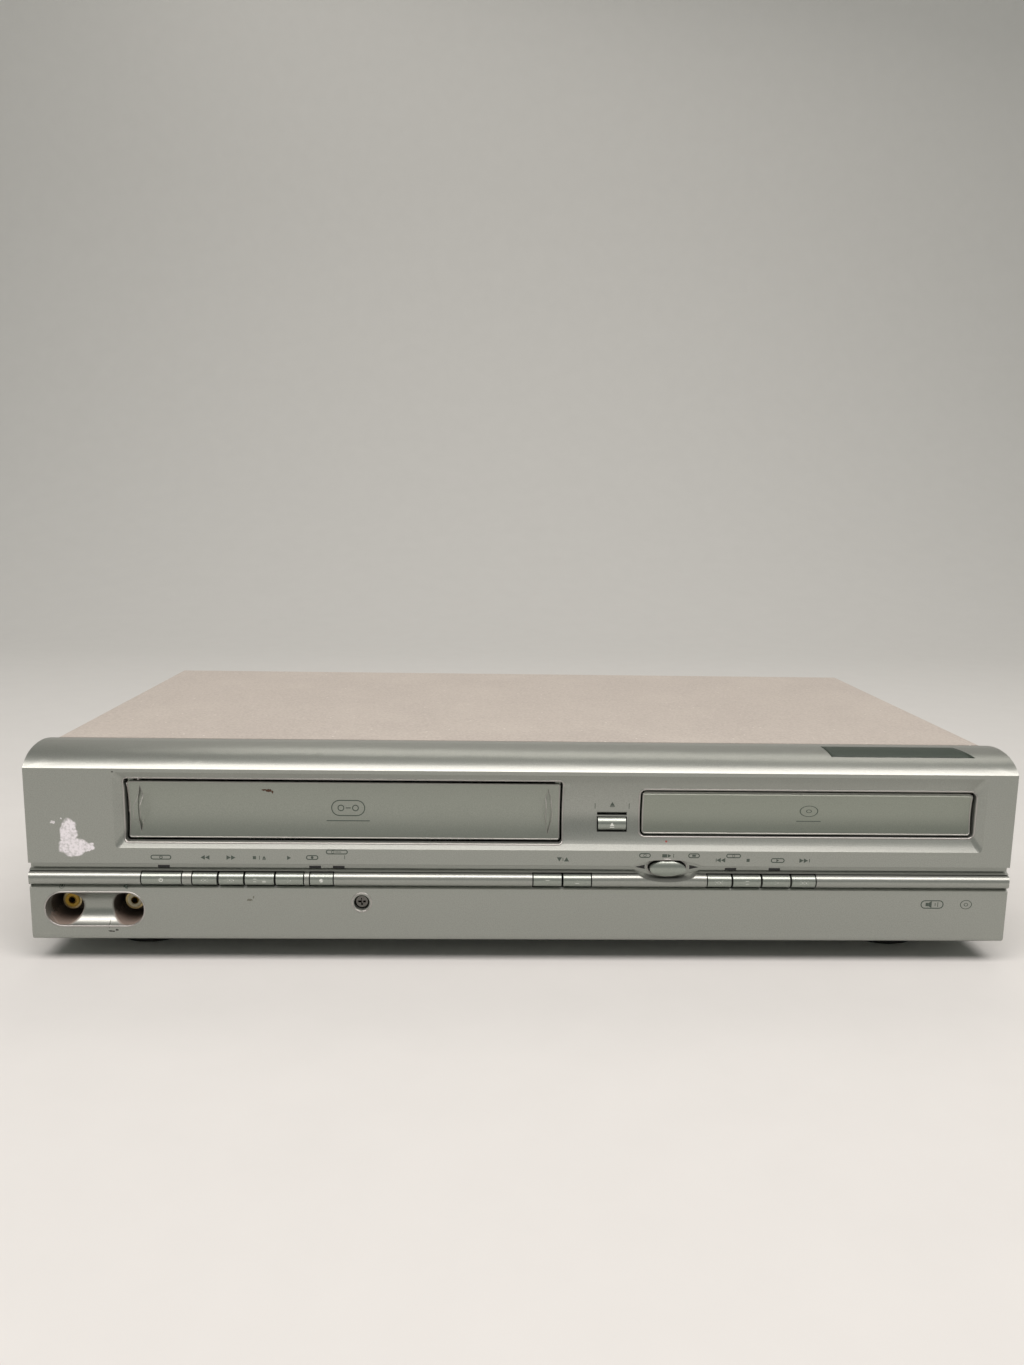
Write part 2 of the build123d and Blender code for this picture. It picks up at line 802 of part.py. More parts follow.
# Torsion spring round the left pin: three close turns and a straight leg
spring_x = deck_x - boss_start - flap_pin_length - 2 * spring_wire
spring_coil_radius = flap_pin_radius + spring_wire + 0.1
with BuildPart() as door_spring:
    with BuildLine():
        coil = Helix(
            pitch=1.0,
            height=3.0,
            radius=spring_coil_radius,
            center=(spring_x, pin_y, flap_pivot_z),
            direction=(-1, 0, 0),
        )
        Line(coil @ 1, (coil @ 1) + (coil % 1) * 2.0)
    with BuildSketch(Plane(origin=coil @ 0, z_dir=coil % 0)):
        RegularPolygon(spring_wire, 6)
    sweep()
save(door_spring, "door_spring")

# ---------------------------------------------------------------- disc tray and its fascia
fascia_high_z = fascia_low_z + fascia_height
fascia_mid_z = fascia_low_z + fascia_height / 2
with BuildPart() as tray_front:
    with BuildSketch(side(tray_x - fascia_width / 2)):
        with BuildLine():
            Line(
                (face_y + fascia_depth - 0.4, fascia_low_z),
                (face_y + fascia_depth + fascia_thickness, fascia_low_z),
            )
            Line(
                (face_y + fascia_depth + fascia_thickness, fascia_low_z),
                (face_y + fascia_depth + fascia_thickness, fascia_high_z),
            )
            Line(
                (face_y + fascia_depth + fascia_thickness, fascia_high_z),
                (face_y + fascia_depth + 1.2, fascia_high_z),
            )
            Line((face_y + fascia_depth + 1.2, fascia_high_z), (face_y + fascia_depth, fascia_high_z - 1.3))
            ThreePointArc(
                (face_y + fascia_depth, fascia_high_z - 1.3),
                (face_y + fascia_depth + 0.9, fascia_mid_z),
                (face_y + fascia_depth - 0.4, fascia_low_z),
            )
        make_face()
    extrude(amount=fascia_width)
    with BuildSketch(behind(fascia_depth - 2)):
        with Locations((tray_x, fascia_mid_z)):
            RectangleRounded(fascia_width, fascia_height, 1.6)
    extrude(amount=-fascia_thickness - 4, mode=Mode.INTERSECT)
save(tray_front, "tray_front")

tray_front_y = face_y + fascia_depth + fascia_thickness
tray_low_z = tray_top_z - tray_thickness
disc_y = face_y + disc_centre_depth
rack_x = tray_x - tray_width / 2 + 9.0  # pitch line of the rack
with BuildPart() as disc_tray:
    with BuildSketch(level(tray_low_z)):
        with Locations((tray_x, tray_front_y)):
            Rectangle(tray_width, tray_length, align=(Align.CENTER, Align.MIN))
    extrude(amount=tray_thickness)
    fillet(disc_tray.edges().filter_by(Axis.Z).sort_by(Axis.Y)[-2:], radius=4)
    # Hollow underside, with the outer rim and a thick middle ring left
    with BuildSketch(level(tray_low_z)):
        with Locations((tray_x + 8.0, tray_front_y + 8.0)):
            Rectangle(tray_width - 24.0, tray_length - 14.0, align=(Align.CENTER, Align.MIN))
        with Locations((tray_x, disc_y)):
            Circle(disc_recess_radius + 1.2, mode=Mode.SUBTRACT)
    extrude(amount=tray_thickness - 2.0, mode=Mode.SUBTRACT)
    # Disc recess with the smaller one inside it
    with BuildSketch(level(tray_top_z)):
        with Locations((tray_x, disc_y)):
            Circle(disc_recess_radius)
    extrude(amount=-disc_recess_depth, mode=Mode.SUBTRACT)
    with BuildSketch(level(tray_top_z - disc_recess_depth)):
        with Locations((tray_x, disc_y)):
            Circle(small_recess_radius)
    extrude(amount=-small_recess_depth, mode=Mode.SUBTRACT)
    # Window for the turntable and the pickup, open to the back so that they pass through
    with BuildSketch(level(tray_low_z)):
        with Locations((tray_x, disc_y)):
            Circle(tray_window_width / 2)
        with Locations((tray_x, disc_y)):
            Rectangle(tray_window_width, tray_length, align=(Align.CENTER, Align.MIN))
    extrude(amount=tray_thickness, mode=Mode.SUBTRACT)
    # Rack under the left edge: a bar with straight-sided teeth towards the right
    with BuildSketch(level(rack_low_z)):
        with Locations((rack_x - 2.6, tray_front_y)):
            Rectangle(2.6 - 1.25 * gear_module, rack_length, align=(Align.MIN, Align.MIN))
    extrude(amount=tray_low_z - rack_low_z)
    with BuildSketch(level(rack_low_z)):
        for step in range(int(rack_length / (pi * gear_module)) - 1):
            tooth_y = tray_front_y + 4.0 + step * pi * gear_module
            with Locations((rack_x, tooth_y)):
                Polygon(
                    (-1.3 * gear_module, -1.15 * gear_module),
                    (1.0 * gear_module, -0.35 * gear_module),
                    (1.0 * gear_module, 0.35 * gear_module),
                    (-1.3 * gear_module, 1.15 * gear_module),
                    align=None,
                )
    extrude(amount=tray_low_z - rack_low_z)
save(disc_tray, "disc_tray")

# ---------------------------------------------------------------- disc loader
loader_front = face_y + 16.0
loader_half = tray_width / 2 + slide_gap
guide_low_z = tray_low_z - slide_gap
guide_high_z = tray_top_z + slide_gap
gear_x = rack_x + tray_gear_teeth * gear_module / 2
gear_y = tray_front_y + 4.0 + 2.5 * pi * gear_module
pinion_reach = (tray_gear_teeth + pinion_teeth) * gear_module / 2
pinion_x = gear_x + pinion_reach * cos(radians(pinion_bearing))
pinion_y = gear_y + pinion_reach * sin(radians(pinion_bearing))
motor_x = pinion_x + 34.0
pulley_low_z = loader_base_z + loader_base + 0.5
gear_low_z = pulley_low_z + pulley_height + slide_gap
gear_high_z = tray_low_z - slide_gap
pinion_high_z = gear_low_z + 5.5
window_front = disc_y - 24.0
window_back = disc_y + 88.0
traverse_pivot_y = disc_y + 82.0
traverse_pivot_z = traverse_z + traverse_thickness / 2


def spur_gear(x, y, teeth, first_angle):
    """Draw a spur gear's outline in the sketch that is open: a root disc and tapered teeth."""
    pitch_radius = teeth * gear_module / 2
    with Locations((x, y)):
        Circle(pitch_radius - 1.25 * gear_module)
        with PolarLocations(pitch_radius, teeth, start_angle=first_angle):
            Polygon(
                (-1.5 * gear_module, -1.0 * gear_module),
                (0.95 * gear_module, -0.35 * gear_module),
                (0.95 * gear_module, 0.35 * gear_module),
                (-1.5 * gear_module, 1.0 * gear_module),
                align=None,
            )


with BuildPart() as loader_frame:
    with BuildSketch(level(loader_base_z)):
        with Locations((tray_x, loader_front)):
            Rectangle(2 * (loader_half + loader_wall), loader_length, align=(Align.CENTER, Align.MIN))
    extrude(amount=guide_high_z + 2.0 - loader_base_z)
    with BuildSketch(level(loader_base_z + loader_base)):
        with Locations((tray_x, loader_front)):
            Rectangle(2 * (loader_half - guide_reach), loader_length, align=(Align.CENTER, Align.MIN))
    extrude(amount=guide_high_z, mode=Mode.SUBTRACT)
    # Grooves that the tray's edges run in
    with BuildSketch(level(guide_low_z)):
        with Locations((tray_x, loader_front)):
            Rectangle(2 * loader_half, loader_length, align=(Align.CENTER, Align.MIN))
    extrude(amount=guide_high_z - guide_low_z, mode=Mode.SUBTRACT)
    # Side walls stand clear of the guides below and above
    with BuildSketch(level(loader_base_z + loader_base)):
        with Locations((tray_x, loader_front)):
            Rectangle(2 * loader_half, loader_length, align=(Align.CENTER, Align.MIN))
    extrude(amount=guide_low_z - 2.0 - loader_base_z - loader_base, mode=Mode.SUBTRACT)
    # Window for the traverse, with an upright rim that carries its pivots
    with BuildSketch(level(loader_base_z)):
        with Locations((tray_x, window_front - 2.0)):
            Rectangle(
                2 * window_half + 4.0,
                window_back - window_front + 4.0,
                align=(Align.CENTER, Align.MIN),
            )
    extrude(amount=traverse_pivot_z + 2.6 - loader_base_z)
    with BuildSketch(level(loader_base_z)):
        with Locations((tray_x, window_front)):
            Rectangle(2 * window_half, window_back - window_front, align=(Align.CENTER, Align.MIN))
    extrude(amount=traverse_pivot_z, mode=Mode.SUBTRACT)
    with BuildSketch(side(tray_x - window_half - 2.0)):
        with Locations((traverse_pivot_y, traverse_pivot_z)):
            Circle(rod_radius + pin_gap)
    extrude(amount=2 * window_half + 4.0, mode=Mode.SUBTRACT)
    # Axles for the gears, and the motor's shaft hole
    with BuildSketch(level(loader_base_z)):
        with Locations((gear_x, gear_y)):
            Circle(axle_radius)
    extrude(amount=gear_high_z - loader_base_z)
    with BuildSketch(level(loader_base_z)):
        with Locations((pinion_x, pinion_y)):
            Circle(axle_radius)
    extrude(amount=pinion_high_z - loader_base_z)
    # A shoulder on the axle carries the tray gear above the pulley's rim
    with BuildSketch(level(loader_base_z)):
        with Locations((gear_x, gear_y)):
            Circle(axle_radius + 0.2)
    extrude(amount=gear_low_z - seat_gap - loader_base_z)
    with BuildSketch(level(loader_base_z)):
        with Locations((motor_x, pinion_y)):
            Circle(2.4)
    extrude(amount=loader_base, mode=Mode.SUBTRACT)
save(loader_frame, "loader_frame")

with BuildPart() as tray_gear:
    with BuildSketch(level(gear_low_z)):
        spur_gear(gear_x, gear_y, tray_gear_teeth, 180)
        with Locations((gear_x, gear_y)):
            Circle(axle_radius + pin_gap, mode=Mode.SUBTRACT)
    extrude(amount=gear_high_z - gear_low_z)
save(tray_gear, "tray_gear")

with BuildPart() as pulley_gear:
    with BuildSketch(level(pulley_low_z)):
        with Locations((pinion_x, pinion_y)):
            Circle(belt_radius)
    extrude(amount=pulley_height)
    with BuildSketch(level(pulley_low_z + (pulley_height - groove_height) / 2)):
        with Locations((pinion_x, pinion_y)):
            Circle(belt_radius)
            Circle(belt_radius - groove_depth, mode=Mode.SUBTRACT)
    extrude(amount=groove_height, mode=Mode.SUBTRACT)
    with BuildSketch(level(pulley_low_z + pulley_height)):
        spur_gear(pinion_x, pinion_y, pinion_teeth, pinion_bearing + 180 + 180 / pinion_teeth)
    extrude(amount=pinion_high_z - pulley_low_z - pulley_height)
    with BuildSketch(level(pulley_low_z)):
        with Locations((pinion_x, pinion_y)):
            Circle(axle_radius + pin_gap)
    extrude(amount=pinion_high_z - pulley_low_z, mode=Mode.SUBTRACT)
save(pulley_gear, "pulley_gear")

with BuildPart() as motor_pulley:
    with BuildSketch(level(pulley_low_z)):
        with Locations((motor_x, pinion_y)):
            Circle(motor_pulley_radius)
            Circle(shaft_radius + pin_gap, mode=Mode.SUBTRACT)
    extrude(amount=pulley_height)
    with BuildSketch(level(pulley_low_z + (pulley_height - groove_height) / 2)):
        with Locations((motor_x, pinion_y)):
            Circle(motor_pulley_radius)
            Circle(motor_pulley_radius - groove_depth, mode=Mode.SUBTRACT)
    extrude(amount=groove_height, mode=Mode.SUBTRACT)
save(motor_pulley, "motor_pulley")

with BuildPart() as loading_motor:
    with BuildSketch(level(loader_base_z)):
        with Locations((motor_x, pinion_y)):
            Circle(loading_motor_radius)
    extrude(amount=-motor_can_height)
    with BuildSketch(level(loader_base_z)):
        with Locations((motor_x, pinion_y)):
            Circle(shaft_radius)
    extrude(amount=pulley_low_z + pulley_height + 0.4 - loader_base_z)
    fillet(loading_motor.edges().group_by(Axis.Z)[0], radius=1.2)
save(loading_motor, "loading_motor")

big_turn = belt_radius - groove_depth + belt_gap
small_turn = motor_pulley_radius - groove_depth + belt_gap
belt_slope_cos = (big_turn - small_turn) / (motor_x - pinion_x)
belt_slope_sin = sqrt(1 - belt_slope_cos**2)
with BuildPart() as loading_belt:
    with BuildSketch(level(pulley_low_z + (pulley_height - 1.2) / 2)):
        for grow, mode in ((belt_thickness, Mode.ADD), (0.0, Mode.SUBTRACT)):
            with Locations((pinion_x, pinion_y)):
                Circle(big_turn + grow, mode=mode)
            with Locations((motor_x, pinion_y)):
                Circle(small_turn + grow, mode=mode)
            with Locations((pinion_x, pinion_y)):
                Polygon(
                    ((big_turn + grow) * belt_slope_cos, (big_turn + grow) * belt_slope_sin),
                    ((big_turn + grow) * belt_slope_cos, -(big_turn + grow) * belt_slope_sin),
                    (
                        motor_x - pinion_x + (small_turn + grow) * belt_slope_cos,
                        -(small_turn + grow) * belt_slope_sin,
                    ),
                    (
                        motor_x - pinion_x + (small_turn + grow) * belt_slope_cos,
                        (small_turn + grow) * belt_slope_sin,
                    ),
                    align=None,
                    mode=mode,
                )
    extrude(amount=1.2)
save(loading_belt, "loading_belt")

rod_front = disc_y + motor_radius + 2.0
rod_back = disc_y + 78.0
with BuildPart() as traverse_chassis:
    with BuildSketch(level(traverse_z)):
        with Locations((tray_x, disc_y - 20.0)):
            Rectangle(2 * traverse_half, 106.0, align=(Align.CENTER, Align.MIN))
        with Locations((tray_x, rod_front)):
            Rectangle(
                rod_spacing - 8.0,
                rod_back - rod_front,
                align=(Align.CENTER, Align.MIN),
                mode=Mode.SUBTRACT,
            )
    extrude(amount=traverse_thickness)
    fillet(traverse_chassis.edges().filter_by(Axis.Z).group_by(Axis.Y)[0], radius=6)
    # Saddles at both ends of the two rods
    with BuildSketch(level(traverse_z)):
        for hand in (-1, 1):
            for saddle_y in (rod_front, rod_back - 4.0):
                with Locations((tray_x + hand * rod_spacing / 2, saddle_y)):
                    Rectangle(7.0, 4.0, align=(Align.CENTER, Align.MIN))
    extrude(amount=rod_z - traverse_z)
    with BuildSketch(behind(rod_front - face_y)):
        with Locations((tray_x - rod_spacing / 2, rod_z), (tray_x + rod_spacing / 2, rod_z)):
            Circle(rod_radius)
    extrude(amount=rod_front - rod_back, mode=Mode.SUBTRACT)
    # Pivot pins at the back
    with BuildSketch(side(tray_x - window_half - 1.6)):
        with Locations((traverse_pivot_y, traverse_pivot_z)):
            Circle(rod_radius)
    extrude(amount=2 * window_half + 3.2)
    with BuildSketch(level(traverse_z - 1)):
        with Locations((tray_x, rod_front)):
            Rectangle(rod_spacing - 8.0, rod_back - rod_front - 4.0, align=(Align.CENTER, Align.MIN))
    extrude(amount=traverse_thickness + 2, mode=Mode.SUBTRACT)
save(traverse_chassis, "traverse_chassis")

with BuildPart() as guide_rods:
    with BuildSketch(behind(rod_front - face_y)):
        with Locations((tray_x - rod_spacing / 2, rod_z), (tray_x + rod_spacing / 2, rod_z)):
            Circle(rod_radius)
    extrude(amount=rod_front - rod_back)
save(guide_rods, "guide_rods")

motor_top_z = traverse_z + traverse_thickness + 8.0
with BuildPart() as spindle_motor:
    with BuildSketch(level(traverse_z + traverse_thickness)):
        with Locations((tray_x, disc_y)):
            Circle(motor_radius)
    extrude(amount=motor_top_z - traverse_z - traverse_thickness)
    fillet(spindle_motor.edges().group_by(Axis.Z)[-1], radius=1.0)
    with BuildSketch(level(motor_top_z)):
        with Locations((tray_x, disc_y)):
            Circle(shaft_radius)
    extrude(amount=tabletop_z - motor_top_z)
save(spindle_motor, "spindle_motor")

with BuildPart() as turntable:
    with BuildSketch(Plane.XZ.offset(-disc_y)):
        with Locations((tray_x, 0)):
            Polygon(
                (shaft_radius + pin_gap, motor_top_z + seat_gap),
                (5.0, motor_top_z + seat_gap),
                (5.0, tabletop_z - 3.0),
                (turntable_radius, tabletop_z - 2.0),
                (turntable_radius, tabletop_z),
                (hub_radius + 0.6, tabletop_z),
                (hub_radius, tabletop_z + 0.8),
                (hub_radius - 1.5, tabletop_z + 1.5),
                (shaft_radius + pin_gap, tabletop_z + 1.5),
                align=None,
            )
    revolve(axis=Axis((tray_x, disc_y, 0), (0, 0, 1)))
save(turntable, "turntable")

pickup_front = disc_y + turntable_radius + 1.6
with BuildPart() as laser_pickup:
    with BuildSketch(level(rod_z - 3.0)):
        with Locations((tray_x, pickup_front)):
            Rectangle(2 * pickup_half, pickup_length, align=(Align.CENTER, Align.MIN))
        with Locations((tray_x, pickup_front + pickup_length / 2)):
            Rectangle(rod_spacing + 6.0, 10.0)
    extrude(amount=6.0)
    with BuildSketch(level(rod_z + 3.0)):
        with Locations((tray_x, pickup_front + 9.0)):
            RectangleRounded(15.0, 13.0, 2.0)
    extrude(amount=2.4)
    with BuildSketch(level(rod_z + 5.4)):
        with Locations((tray_x, pickup_front + 7.5)):
            Circle(2.6)
    extrude(amount=1.2)
    with BuildSketch(behind(pickup_front - face_y)):
        with Locations((tray_x - rod_spacing / 2, rod_z), (tray_x + rod_spacing / 2, rod_z)):
            Circle(rod_radius + pin_gap)
    extrude(amount=-pickup_length, mode=Mode.SUBTRACT)
save(laser_pickup, "laser_pickup")

with BuildPart() as clamp_bridge:
    with BuildSketch(Plane.XZ.offset(-disc_y - bridge_width / 2)):
        with Locations((tray_x, 0)):
            Polygon(
                (-loader_half - loader_wall, guide_high_z + 2.0),
                (-loader_half + 1.0, guide_high_z + 2.0),
                (-loader_half + 4.0, bridge_z),
                (loader_half - 4.0, bridge_z),
                (loader_half - 1.0, guide_high_z + 2.0),
                (loader_half + loader_wall, guide_high_z + 2.0),
                (loader_half + loader_wall, guide_high_z + 2.0 + bridge_sheet),
                (loader_half - 0.3, guide_high_z + 2.0 + bridge_sheet),
                (loader_half - 3.6, bridge_z + bridge_sheet),
                (-loader_half + 3.6, bridge_z + bridge_sheet),
                (-loader_half + 0.3, guide_high_z + 2.0 + bridge_sheet),
                (-loader_half - loader_wall, guide_high_z + 2.0 + bridge_sheet),
                align=None,
            )
    extrude(amount=bridge_width)
    with BuildSketch(level(bridge_z)):
        with Locations((tray_x, disc_y)):
            Circle(clamp_neck + 1.0)
    extrude(amount=bridge_sheet, mode=Mode.SUBTRACT)
save(clamp_bridge, "clamp_bridge")

with BuildPart() as clamp_disc:
    with BuildSketch(Plane.XZ.offset(-disc_y)):
        with Locations((tray_x, 0)):
            Polygon(
                (0, tabletop_z + 1.5 + seat_gap),
                (hub_radius + 1.0, tabletop_z + 1.5 + seat_gap),
                (hub_radius + 1.4, tabletop_z + seat_gap),
                (clamp_radius, tabletop_z + seat_gap),
                (clamp_radius, tabletop_z + 3.0),
                (clamp_neck, tabletop_z + 4.4),
                (clamp_neck, bridge_z + bridge_sheet + seat_gap),
                (clamp_neck + 3.5, bridge_z + bridge_sheet + seat_gap),
                (clamp_neck + 3.0, bridge_z + bridge_sheet + 2.2),
                (0, bridge_z + bridge_sheet + 2.2),
                align=None,
            )
    revolve(axis=Axis((tray_x, disc_y, 0), (0, 0, 1)))
save(clamp_disc, "clamp_disc")

# ---------------------------------------------------------------- tape deck
deck_front = face_y + 22.0
deck_back = rear_y - deck_back_gap
holder_front = face_y + 36.5
holder_low_z = bay_low_z - holder_sheet
holder_high_z = bay_low_z + cassette_height + 1.6
holder_half = cassette_width / 2 + 0.8
frame_half = holder_half + holder_sheet + slide_gap
holder_pin_ys = (holder_front + 24.0, holder_front + 62.0)
drum_y = face_y + 172.0
capstan_x = deck_x + 66.0
capstan_y = face_y + 150.0
pinch_pivot_x = capstan_x + pinch_arm_length
pinch_pivot_y = capstan_y - capstan_radius - pinch_radius - 0.3
pinch_x = pinch_pivot_x - pinch_arm_length * cos(radians(pinch_open))
pinch_y = pinch_pivot_y - pinch_arm_length * sin(radians(pinch_open))
reel_y = face_y + 84.0
guide_start = (26.0, face_y + 126.0)
guide_end = (40.0, face_y + 166.0)
deck_posts = [
    (deck_x + across * (deck_half - deck_post_inset), along)
    for across in (-1, 1)
    for along in (deck_front + deck_post_inset, deck_back - deck_post_inset)
]

with BuildPart() as deck_plate:
    with BuildSketch(level(deck_z - deck_sheet)):
        with Locations((deck_x, deck_front)):
            Rectangle(2 * deck_half, deck_back - deck_front, align=(Align.CENTER, Align.MIN))
        # Guide slots, wide enough for the pegs of the guides
        for hand in (-1, 1):
            slot_x = deck_x + hand * (guide_start[0] + guide_end[0]) / 2
            slot_y = (guide_start[1] + guide_end[1]) / 2
            run_x = hand * (guide_end[0] - guide_start[0])
            run_y = guide_end[1] - guide_start[1]
            with Locations(Location((slot_x, slot_y, 0), Vector(run_x, run_y).get_angle(Vector(1, 0)))):
                SlotCenterToCenter(sqrt(run_x**2 + run_y**2), 2 * peg_radius + 0.8, mode=Mode.SUBTRACT)
        with Locations((capstan_x, capstan_y)):
            Circle(capstan_radius + pin_gap, mode=Mode.SUBTRACT)
    extrude(amount=deck_sheet)
    # Stiffening lips turned down along the front and back edges
    for lip_y in (deck_front, deck_back - deck_sheet):
        with BuildSketch(level(deck_z)):
            with Locations((deck_x, lip_y)):
                Rectangle(2 * deck_half - 40.0, deck_sheet, align=(Align.CENTER, Align.MIN))
        extrude(amount=-6.0)
    # Bearing tube of the capstan, and pins for the reels and the pinch arm
    with BuildSketch(level(deck_z - 3.5)):
        with Locations((capstan_x, capstan_y)):
            Circle(bearing_radius)
            Circle(capstan_radius + pin_gap, mode=Mode.SUBTRACT)
    extrude(amount=bearing_length)
    with BuildSketch(level(deck_z)):
        with Locations((deck_x - reel_spacing / 2, reel_y), (deck_x + reel_spacing / 2, reel_y)):
            Circle(axle_radius)
        with Locations((pinch_pivot_x, pinch_pivot_y)):
            Circle(2.0)
    extrude(amount=8.0)
save(deck_plate, "deck_plate")

# Two upright side brackets, each with an angled slot for the cassette holder's pins
with BuildPart() as carriage_frame:
    for hand in (-1, 1):
        with BuildSketch(side(deck_x + hand * frame_half)):
            with BuildLine():
                Polyline(
                    (holder_front - 6.0, deck_z),
                    (holder_front - 6.0, holder_high_z - 8.0),
                    (holder_front + 4.0, holder_high_z + 1.0),
                    (holder_front + holder_length + 14.0, holder_high_z + 1.0),
                    (holder_front + holder_length + 26.0, holder_high_z - 14.0),
                    (holder_front + holder_length + 26.0, deck_z),
                    close=True,
                )
            make_face()
            for pin_place in holder_pin_ys:
                with Locations((pin_place + holder_travel / 2, holder_pin_z)):
                    SlotCenterToCenter(
                        holder_travel,
                        2 * holder_pin_radius + 2 * slide_gap,
                        mode=Mode.SUBTRACT,
                    )
                with Locations((pin_place + holder_travel, holder_pin_z)):
                    Rectangle(
                        2 * holder_pin_radius + 2 * slide_gap,
                        20.0,
                        align=(Align.CENTER, Align.MAX),
                        mode=Mode.SUBTRACT,
                    )
        extrude(amount=hand * frame_sheet)
save(carriage_frame, "carriage_frame")

with BuildPart() as cassette_holder:
    with BuildSketch(Plane.XZ.offset(-holder_front)):
        with Locations((deck_x, (holder_low_z + holder_high_z) / 2)):
            Rectangle(2 * holder_half + 2 * holder_sheet, holder_high_z - holder_low_z)
            Rectangle(
                2 * holder_half,
                holder_high_z - holder_low_z - 2 * holder_sheet,
                mode=Mode.SUBTRACT,
            )
    extrude(amount=-holder_length)
    # The floor is open in the middle, over the reels; the roof has a wide window at the front
    with BuildSketch(level(holder_low_z)):
        with Locations((deck_x, holder_front)):
            Rectangle(2 * holder_half - 2 * holder_ledge, holder_length, align=(Align.CENTER, Align.MIN))
    extrude(amount=holder_sheet, mode=Mode.SUBTRACT)
    with BuildSketch(level(holder_high_z - holder_sheet)):
        with Locations((deck_x, holder_front)):
            Rectangle(2 * holder_half - 2 * roof_ledge, roof_window, align=(Align.CENTER, Align.MIN))
    extrude(amount=holder_sheet, mode=Mode.SUBTRACT)
    for hand in (-1, 1):
        for pin_place in holder_pin_ys:
            with BuildSketch(side(deck_x + hand * (holder_half + holder_sheet / 2))):
                with Locations((pin_place, holder_pin_z)):
                    Circle(holder_pin_radius)
            extrude(amount=hand * (holder_sheet / 2 + slide_gap + frame_sheet + 1.0))
save(cassette_holder, "cassette_holder")

# The drum leans to the left; its lower half is fixed and its upper half spins on the same axis.
drum_axis = Plane(
    origin=(deck_x, drum_y, deck_z + drum_lift),
    x_dir=(cos(radians(drum_tilt)), 0, sin(radians(drum_tilt))),
    z_dir=(-sin(radians(drum_tilt)), 0, cos(radians(drum_tilt))),
)
with BuildPart() as drum_base:
    with BuildSketch(drum_axis):
        Circle(drum_radius)
    extrude(amount=drum_base_height)
    with BuildSketch(drum_axis.offset(drum_base_height)):
        Circle(5.0)
    extrude(amount=-drum_base_height - 4.0)
    with BuildSketch(level(deck_z)):
        with Locations((deck_x, drum_y)):
            Circle(drum_radius - 6.0)
    extrude(amount=drum_lift + 2.0)
    with BuildSketch(drum_axis.offset(drum_base_height)):
        Circle(2.5)
    extrude(amount=22.0)
save(drum_base, "drum_base")

with BuildPart() as head_drum:
    with BuildSketch(drum_axis.offset(drum_base_height + slide_gap)):
        Circle(drum_radius)
    extrude(amount=upper_drum_height)
    with BuildSketch(drum_axis.offset(drum_base_height + slide_gap)):
        Circle(20.0)
    extrude(amount=upper_drum_height + 5.0)
    # Head windows in the lower rim
    with BuildSketch(drum_axis.offset(drum_base_height + slide_gap)):
        with PolarLocations(drum_radius, 4):
            Rectangle(5.0, 6.0)
    extrude(amount=2.6, mode=Mode.SUBTRACT)
    with BuildSketch(drum_axis.offset(drum_base_height + slide_gap)):
        Circle(2.5 + pin_gap)
    extrude(amount=upper_drum_height + 5.0, mode=Mode.SUBTRACT)
save(head_drum, "head_drum")

with BuildPart() as capstan:
    with BuildSketch(level(deck_z - 3.5 - seat_gap)):
        with Locations((capstan_x, capstan_y)):
            Circle(flywheel_radius)
    extrude(amount=-7.0)
    with BuildSketch(level(deck_z - 12.5)):
        with Locations((capstan_x, capstan_y)):
            Circle(capstan_radius)
    extrude(amount=pinch_high_z + 2.0 - deck_z + 12.5)
save(capstan, "capstan")

arm_low_z = deck_z + 1.2
with BuildPart() as pinch_arm:
    with BuildSketch(level(arm_low_z)):
        with Locations((pinch_pivot_x, pinch_pivot_y)):
            Circle(5.0)
        with Locations((pinch_x, pinch_y)):
            Circle(4.0)
        with Locations(Location((pinch_pivot_x, pinch_pivot_y, 0), 180 + pinch_open)):
            Rectangle(pinch_arm_length, 6.0, align=(Align.MIN, Align.CENTER))
        with Locations((pinch_pivot_x, pinch_pivot_y)):
            Circle(2.0 + pin_gap, mode=Mode.SUBTRACT)
    extrude(amount=pinch_low_z - seat_gap - arm_low_z)
    with BuildSketch(level(arm_low_z)):
        with Locations((pinch_x, pinch_y)):
            Circle(axle_radius)
    extrude(amount=pinch_high_z + 0.6 - arm_low_z)
save(pinch_arm, "pinch_arm")

with BuildPart() as pinch_roller:
    with BuildSketch(level(pinch_low_z)):
        with Locations((pinch_x, pinch_y)):
            Circle(pinch_radius)
            Circle(axle_radius + pin_gap, mode=Mode.SUBTRACT)
    extrude(amount=pinch_high_z - pinch_low_z)
    chamfer(pinch_roller.edges().filter_by(GeomType.CIRCLE).sort_by(SortBy.LENGTH)[-2:], length=0.6)
save(pinch_roller, "pinch_roller")

# Reel tables: a toothed rim, a disc and a six-splined hub
for name, hand in (("supply_reel", -1), ("takeup_reel", 1)):
    reel_x = deck_x + hand * reel_spacing / 2
    with BuildPart() as reel:
        with BuildSketch(level(deck_z + seat_gap)):
            spur_gear(reel_x, reel_y, 36, 0)
        extrude(amount=3.0)
        with BuildSketch(level(deck_z + seat_gap + 3.0)):
            with Locations((reel_x, reel_y)):
                Circle(reel_radius)
        extrude(amount=1.6)
        with BuildSketch(level(deck_z + seat_gap + 4.6)):
            with Locations((reel_x, reel_y)):
                Circle(8.0)
                with PolarLocations(8.0, 6):
                    Rectangle(4.0, 2.0)
        extrude(amount=9.0)
        with BuildSketch(level(deck_z + seat_gap)):
            with Locations((reel_x, reel_y)):
                Circle(axle_radius + pin_gap)
        extrude(amount=13.6, mode=Mode.SUBTRACT)
    save(reel, name)

